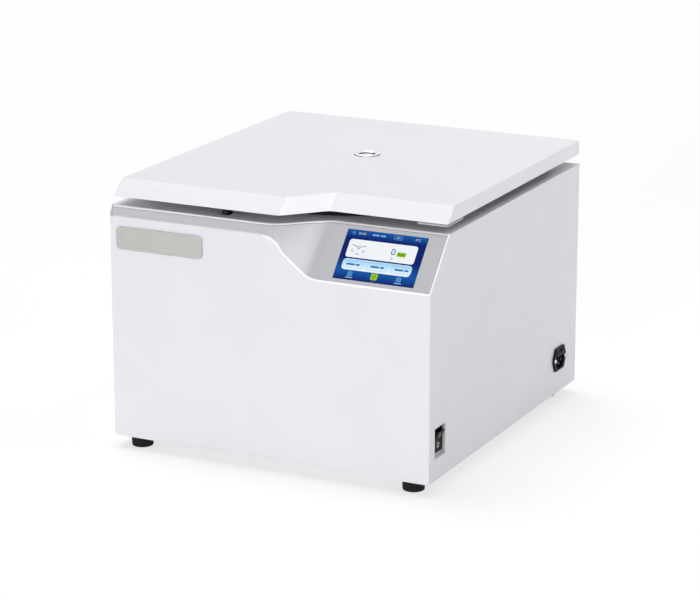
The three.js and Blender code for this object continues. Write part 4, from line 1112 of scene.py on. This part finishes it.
def draw_card(ui):
    """A white card: a small rotor with two buckets, two numbers, and a green tag with three bars."""
    hub, numbers, tag = 0.2, 0.632, 0.738
    tag_row = 0.39
    line = 0.8 * mm
    ui.pane("white", 1, 0.49, 0.372, 0.85, 0.365, 3.4 * mm)
    ui.disc("grey", 2, hub, 0.35, 2.1 * mm, line)
    for side in (-1, 1):
        ui.stroke("grey", 2, hub + side * 0.052, 0.32, 8.4 * mm, line, side * 16)
        ui.stroke("mist", 2, hub + side * 0.07, 0.42, 5 * mm, 2.2 * mm, side * 62)
    ui.stroke("grey", 2, hub, 0.48, 6 * mm, line, 0)
    ui.text("navy", 2, "0", numbers, 0.362, 8.8 * mm)
    ui.text("grey", 2, "0", numbers + 0.003, 0.489, 3.6 * mm)
    ui.pane("green", 2, tag, tag_row, 0.11, 0.092, line)
    for step in (-1, 0, 1):
        ui.pane("leaf", 3, tag + 0.03 * step, tag_row, 0.021, 0.05, 0.3 * mm)


def draw_buttons(ui):
    """A pale strip with three buttons, two bars for words in each."""
    centre, row, word_row = 0.491, 0.695, 0.693
    ui.pane("white", 1, centre, row, 0.856, 0.222, 4.6 * mm)
    ui.pane("strip", 2, centre, row, 0.846, 0.206, 4.2 * mm)
    for u in (0.196, 0.497, 0.798):
        ui.pane("pale", 3, u, row + 0.002, 0.25, 0.142, 3.4 * mm, 0.42 * mm)
        for offset, wide in ((-0.03, 0.105), (0.06, 0.05)):
            ui.pane("word", 3, u + offset, word_row, wide, 0.036, 0.5 * mm)


def draw_keys(ui):
    """Two small keys with a green one between them, each over a bar for a word."""
    row, word_row = 0.883, 0.955
    line = 0.7 * mm
    for u in (0.194, 0.8):
        ui.pane("sky", 1, u, row, 0.056, 0.085, 1.5 * mm, line)
        ui.pane("sky", 1, u, row, 0.018, 0.03, 0.4 * mm)
        ui.pane("pale", 1, u, word_row, 0.09, 0.018, 0.3 * mm)
    between = 0.497
    ui.pane("green", 1, between, row + 0.002, 0.082, 0.125, 1.2 * mm)
    ui.disc("leaf", 2, between, row + 0.002, 2.8 * mm, line)
    ui.stroke("leaf", 2, between, row + 0.002, 4.2 * mm, line, 55)
    ui.pane("leaf", 1, between, word_row + 0.017, 0.05, 0.014, 0.3 * mm)


def add_display():
    """A plain working screen: a status bar, a card, a row of buttons and three keys."""
    axes, size = face_axes("display_glass", lambda normal, centre: normal.z > 0.3 and normal.y < -0.3)
    blue = (0.004, 0.085, 0.33)
    navy = (0.002, 0.012, 0.13)
    shades = [(0, blue), (0.16, navy), (0.55, navy), (0.82, blue), (1, navy)]
    glass = graded("screen_glass", axes, size, shades)
    for place in frame["nodes"]["display_glass"].material_slots:
        place.material = glass
    strip = [(0.59, (0.26, 0.55, 0.80)), (0.70, (0.50, 0.70, 0.85)), (0.8, (0.74, 0.80, 0.86))]
    INKS["strip"] = graded("ink_strip", axes, size, strip)
    ui = Sketch("screen", axes, size, "cabinet", "screen_glass")
    for draw in (draw_status_bar, draw_card, draw_buttons, draw_keys):
        draw(ui)
    ui.place()


def add_marks():
    """The rocker's line and circle, and the numbers of the rotor's four places."""
    pivot = middle("power_rocker")
    for name, above in (("line", True), ("circle", False)):
        axes, size = face_axes("power_rocker",
                               lambda normal, centre: normal.x > 0.8 and (centre.z > pivot.z) == above)
        mark = Sketch("rocker_" + name, axes, size, "power_rocker", "light_plastic")
        if above:
            mark.stroke("mark", 1, 0.5, 0.5, 5.8 * mm, 1.2 * mm, 90)
        else:
            mark.disc("mark", 1, 0.5, 0.5, 3.3 * mm, 1.0 * mm)
        mark.place()

    below_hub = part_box("rotor_head")[1].z - 1 * mm
    top, size = face_axes("rotor_head", lambda normal, centre: normal.z > 0.9 and centre.z < below_hub)
    numbers = Sketch("rotor_numbers", top, size, "rotor", "aluminium")
    reach = 44 * mm
    for index in range(4):
        angle = TURN * index / 4
        u = 0.5 + reach * math.cos(angle) / size[0]
        v = 0.5 - reach * math.sin(angle) / size[1]
        numbers.text("etched", 1, str(index + 1), u, v, 8 * mm)
    numbers.place()


# Fasteners

def screw_head(radius, height):
    """A domed head with a cross recess, seated at height 0."""
    rim = 0.35 * height
    dome = [(0, 0), (radius, 0), (radius, rim, 0.2 * height), (0.6 * radius, height, rim), (0, height)]
    arm = 0.28 * radius
    span = 1.15 * radius
    recess = [prism(bmesh.new(), rectangle(wide, high, 0.05 * radius), 0.45 * height, 2 * height)
              for wide, high in ((span, arm), (arm, span))]
    return carved(lathe(dome, facets=TINY), recess)


def screws(name, places, out, body, radius=2.7 * mm, height=1.4 * mm, stands_for=()):
    """A set of equal screw heads that point out, each turned a little differently."""
    head = screw_head(radius, height)
    form = bmesh.new()
    lean = Vector(out).to_track_quat("Z", "Y").to_matrix().to_4x4()
    twist = 0.9
    for index, place in enumerate(places):
        join(form, head, Matrix.Translation(place) @ lean @ Matrix.Rotation(twist * index, 4, "Z"))
    head.free()
    add(name, form, body, "bright_steel", None, stands_for)


def add_screws():
    """Screws of the mains inlet, the rear panel and the hinges."""
    proud = 1.6 * mm
    for node in ("inlet_screw_front", "inlet_screw_rear"):
        low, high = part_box(node)
        centre = middle(node)
        screws(node + "_cross", [(high.x - proud, centre.y, centre.z)], (1, 0, 0), "cabinet",
               radius=(high.z - low.z) / 2, height=proud, stands_for=[node])

    low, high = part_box("rear_panel")
    edge = 8 * mm
    across = [low.x + edge, (low.x + high.x) / 2, high.x - edge]
    rows = [low.z + edge, (low.z + high.z) / 2, high.z - edge]
    rim = [(x, high.y, z) for x in across for z in rows if (x, z) != (across[1], rows[1])]
    screws("rear_screws", rim, (0, 1, 0), "cabinet")

    leaf = 2.3 * mm
    inset = 12 * mm
    leaf_shares = (0.16, 0.5, 0.84)
    for side in ("left", "right"):
        for node, body, level, out in (("deck_hinge_", "cabinet", deck_top + leaf, 1),
                                       ("lid_hinge_", "lid", liner_bottom - leaf, -1)):
            low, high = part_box(node + side)
            row = [(low.x * (1 - share) + high.x * share, low.y + inset, level) for share in leaf_shares]
            screws(f"{node}{side}_screws", row, (0, 0, out), body, radius=3 * mm)


bpy.context.scene.view_settings.view_transform = "Standard"
dress_nodes()
add_chamber()
add_feet()
add_port()
add_nut()
add_shaft()
add_buckets()
add_display()
add_marks()
add_screws()
add_camera()
add_world()
add_lamps()
add_floor()
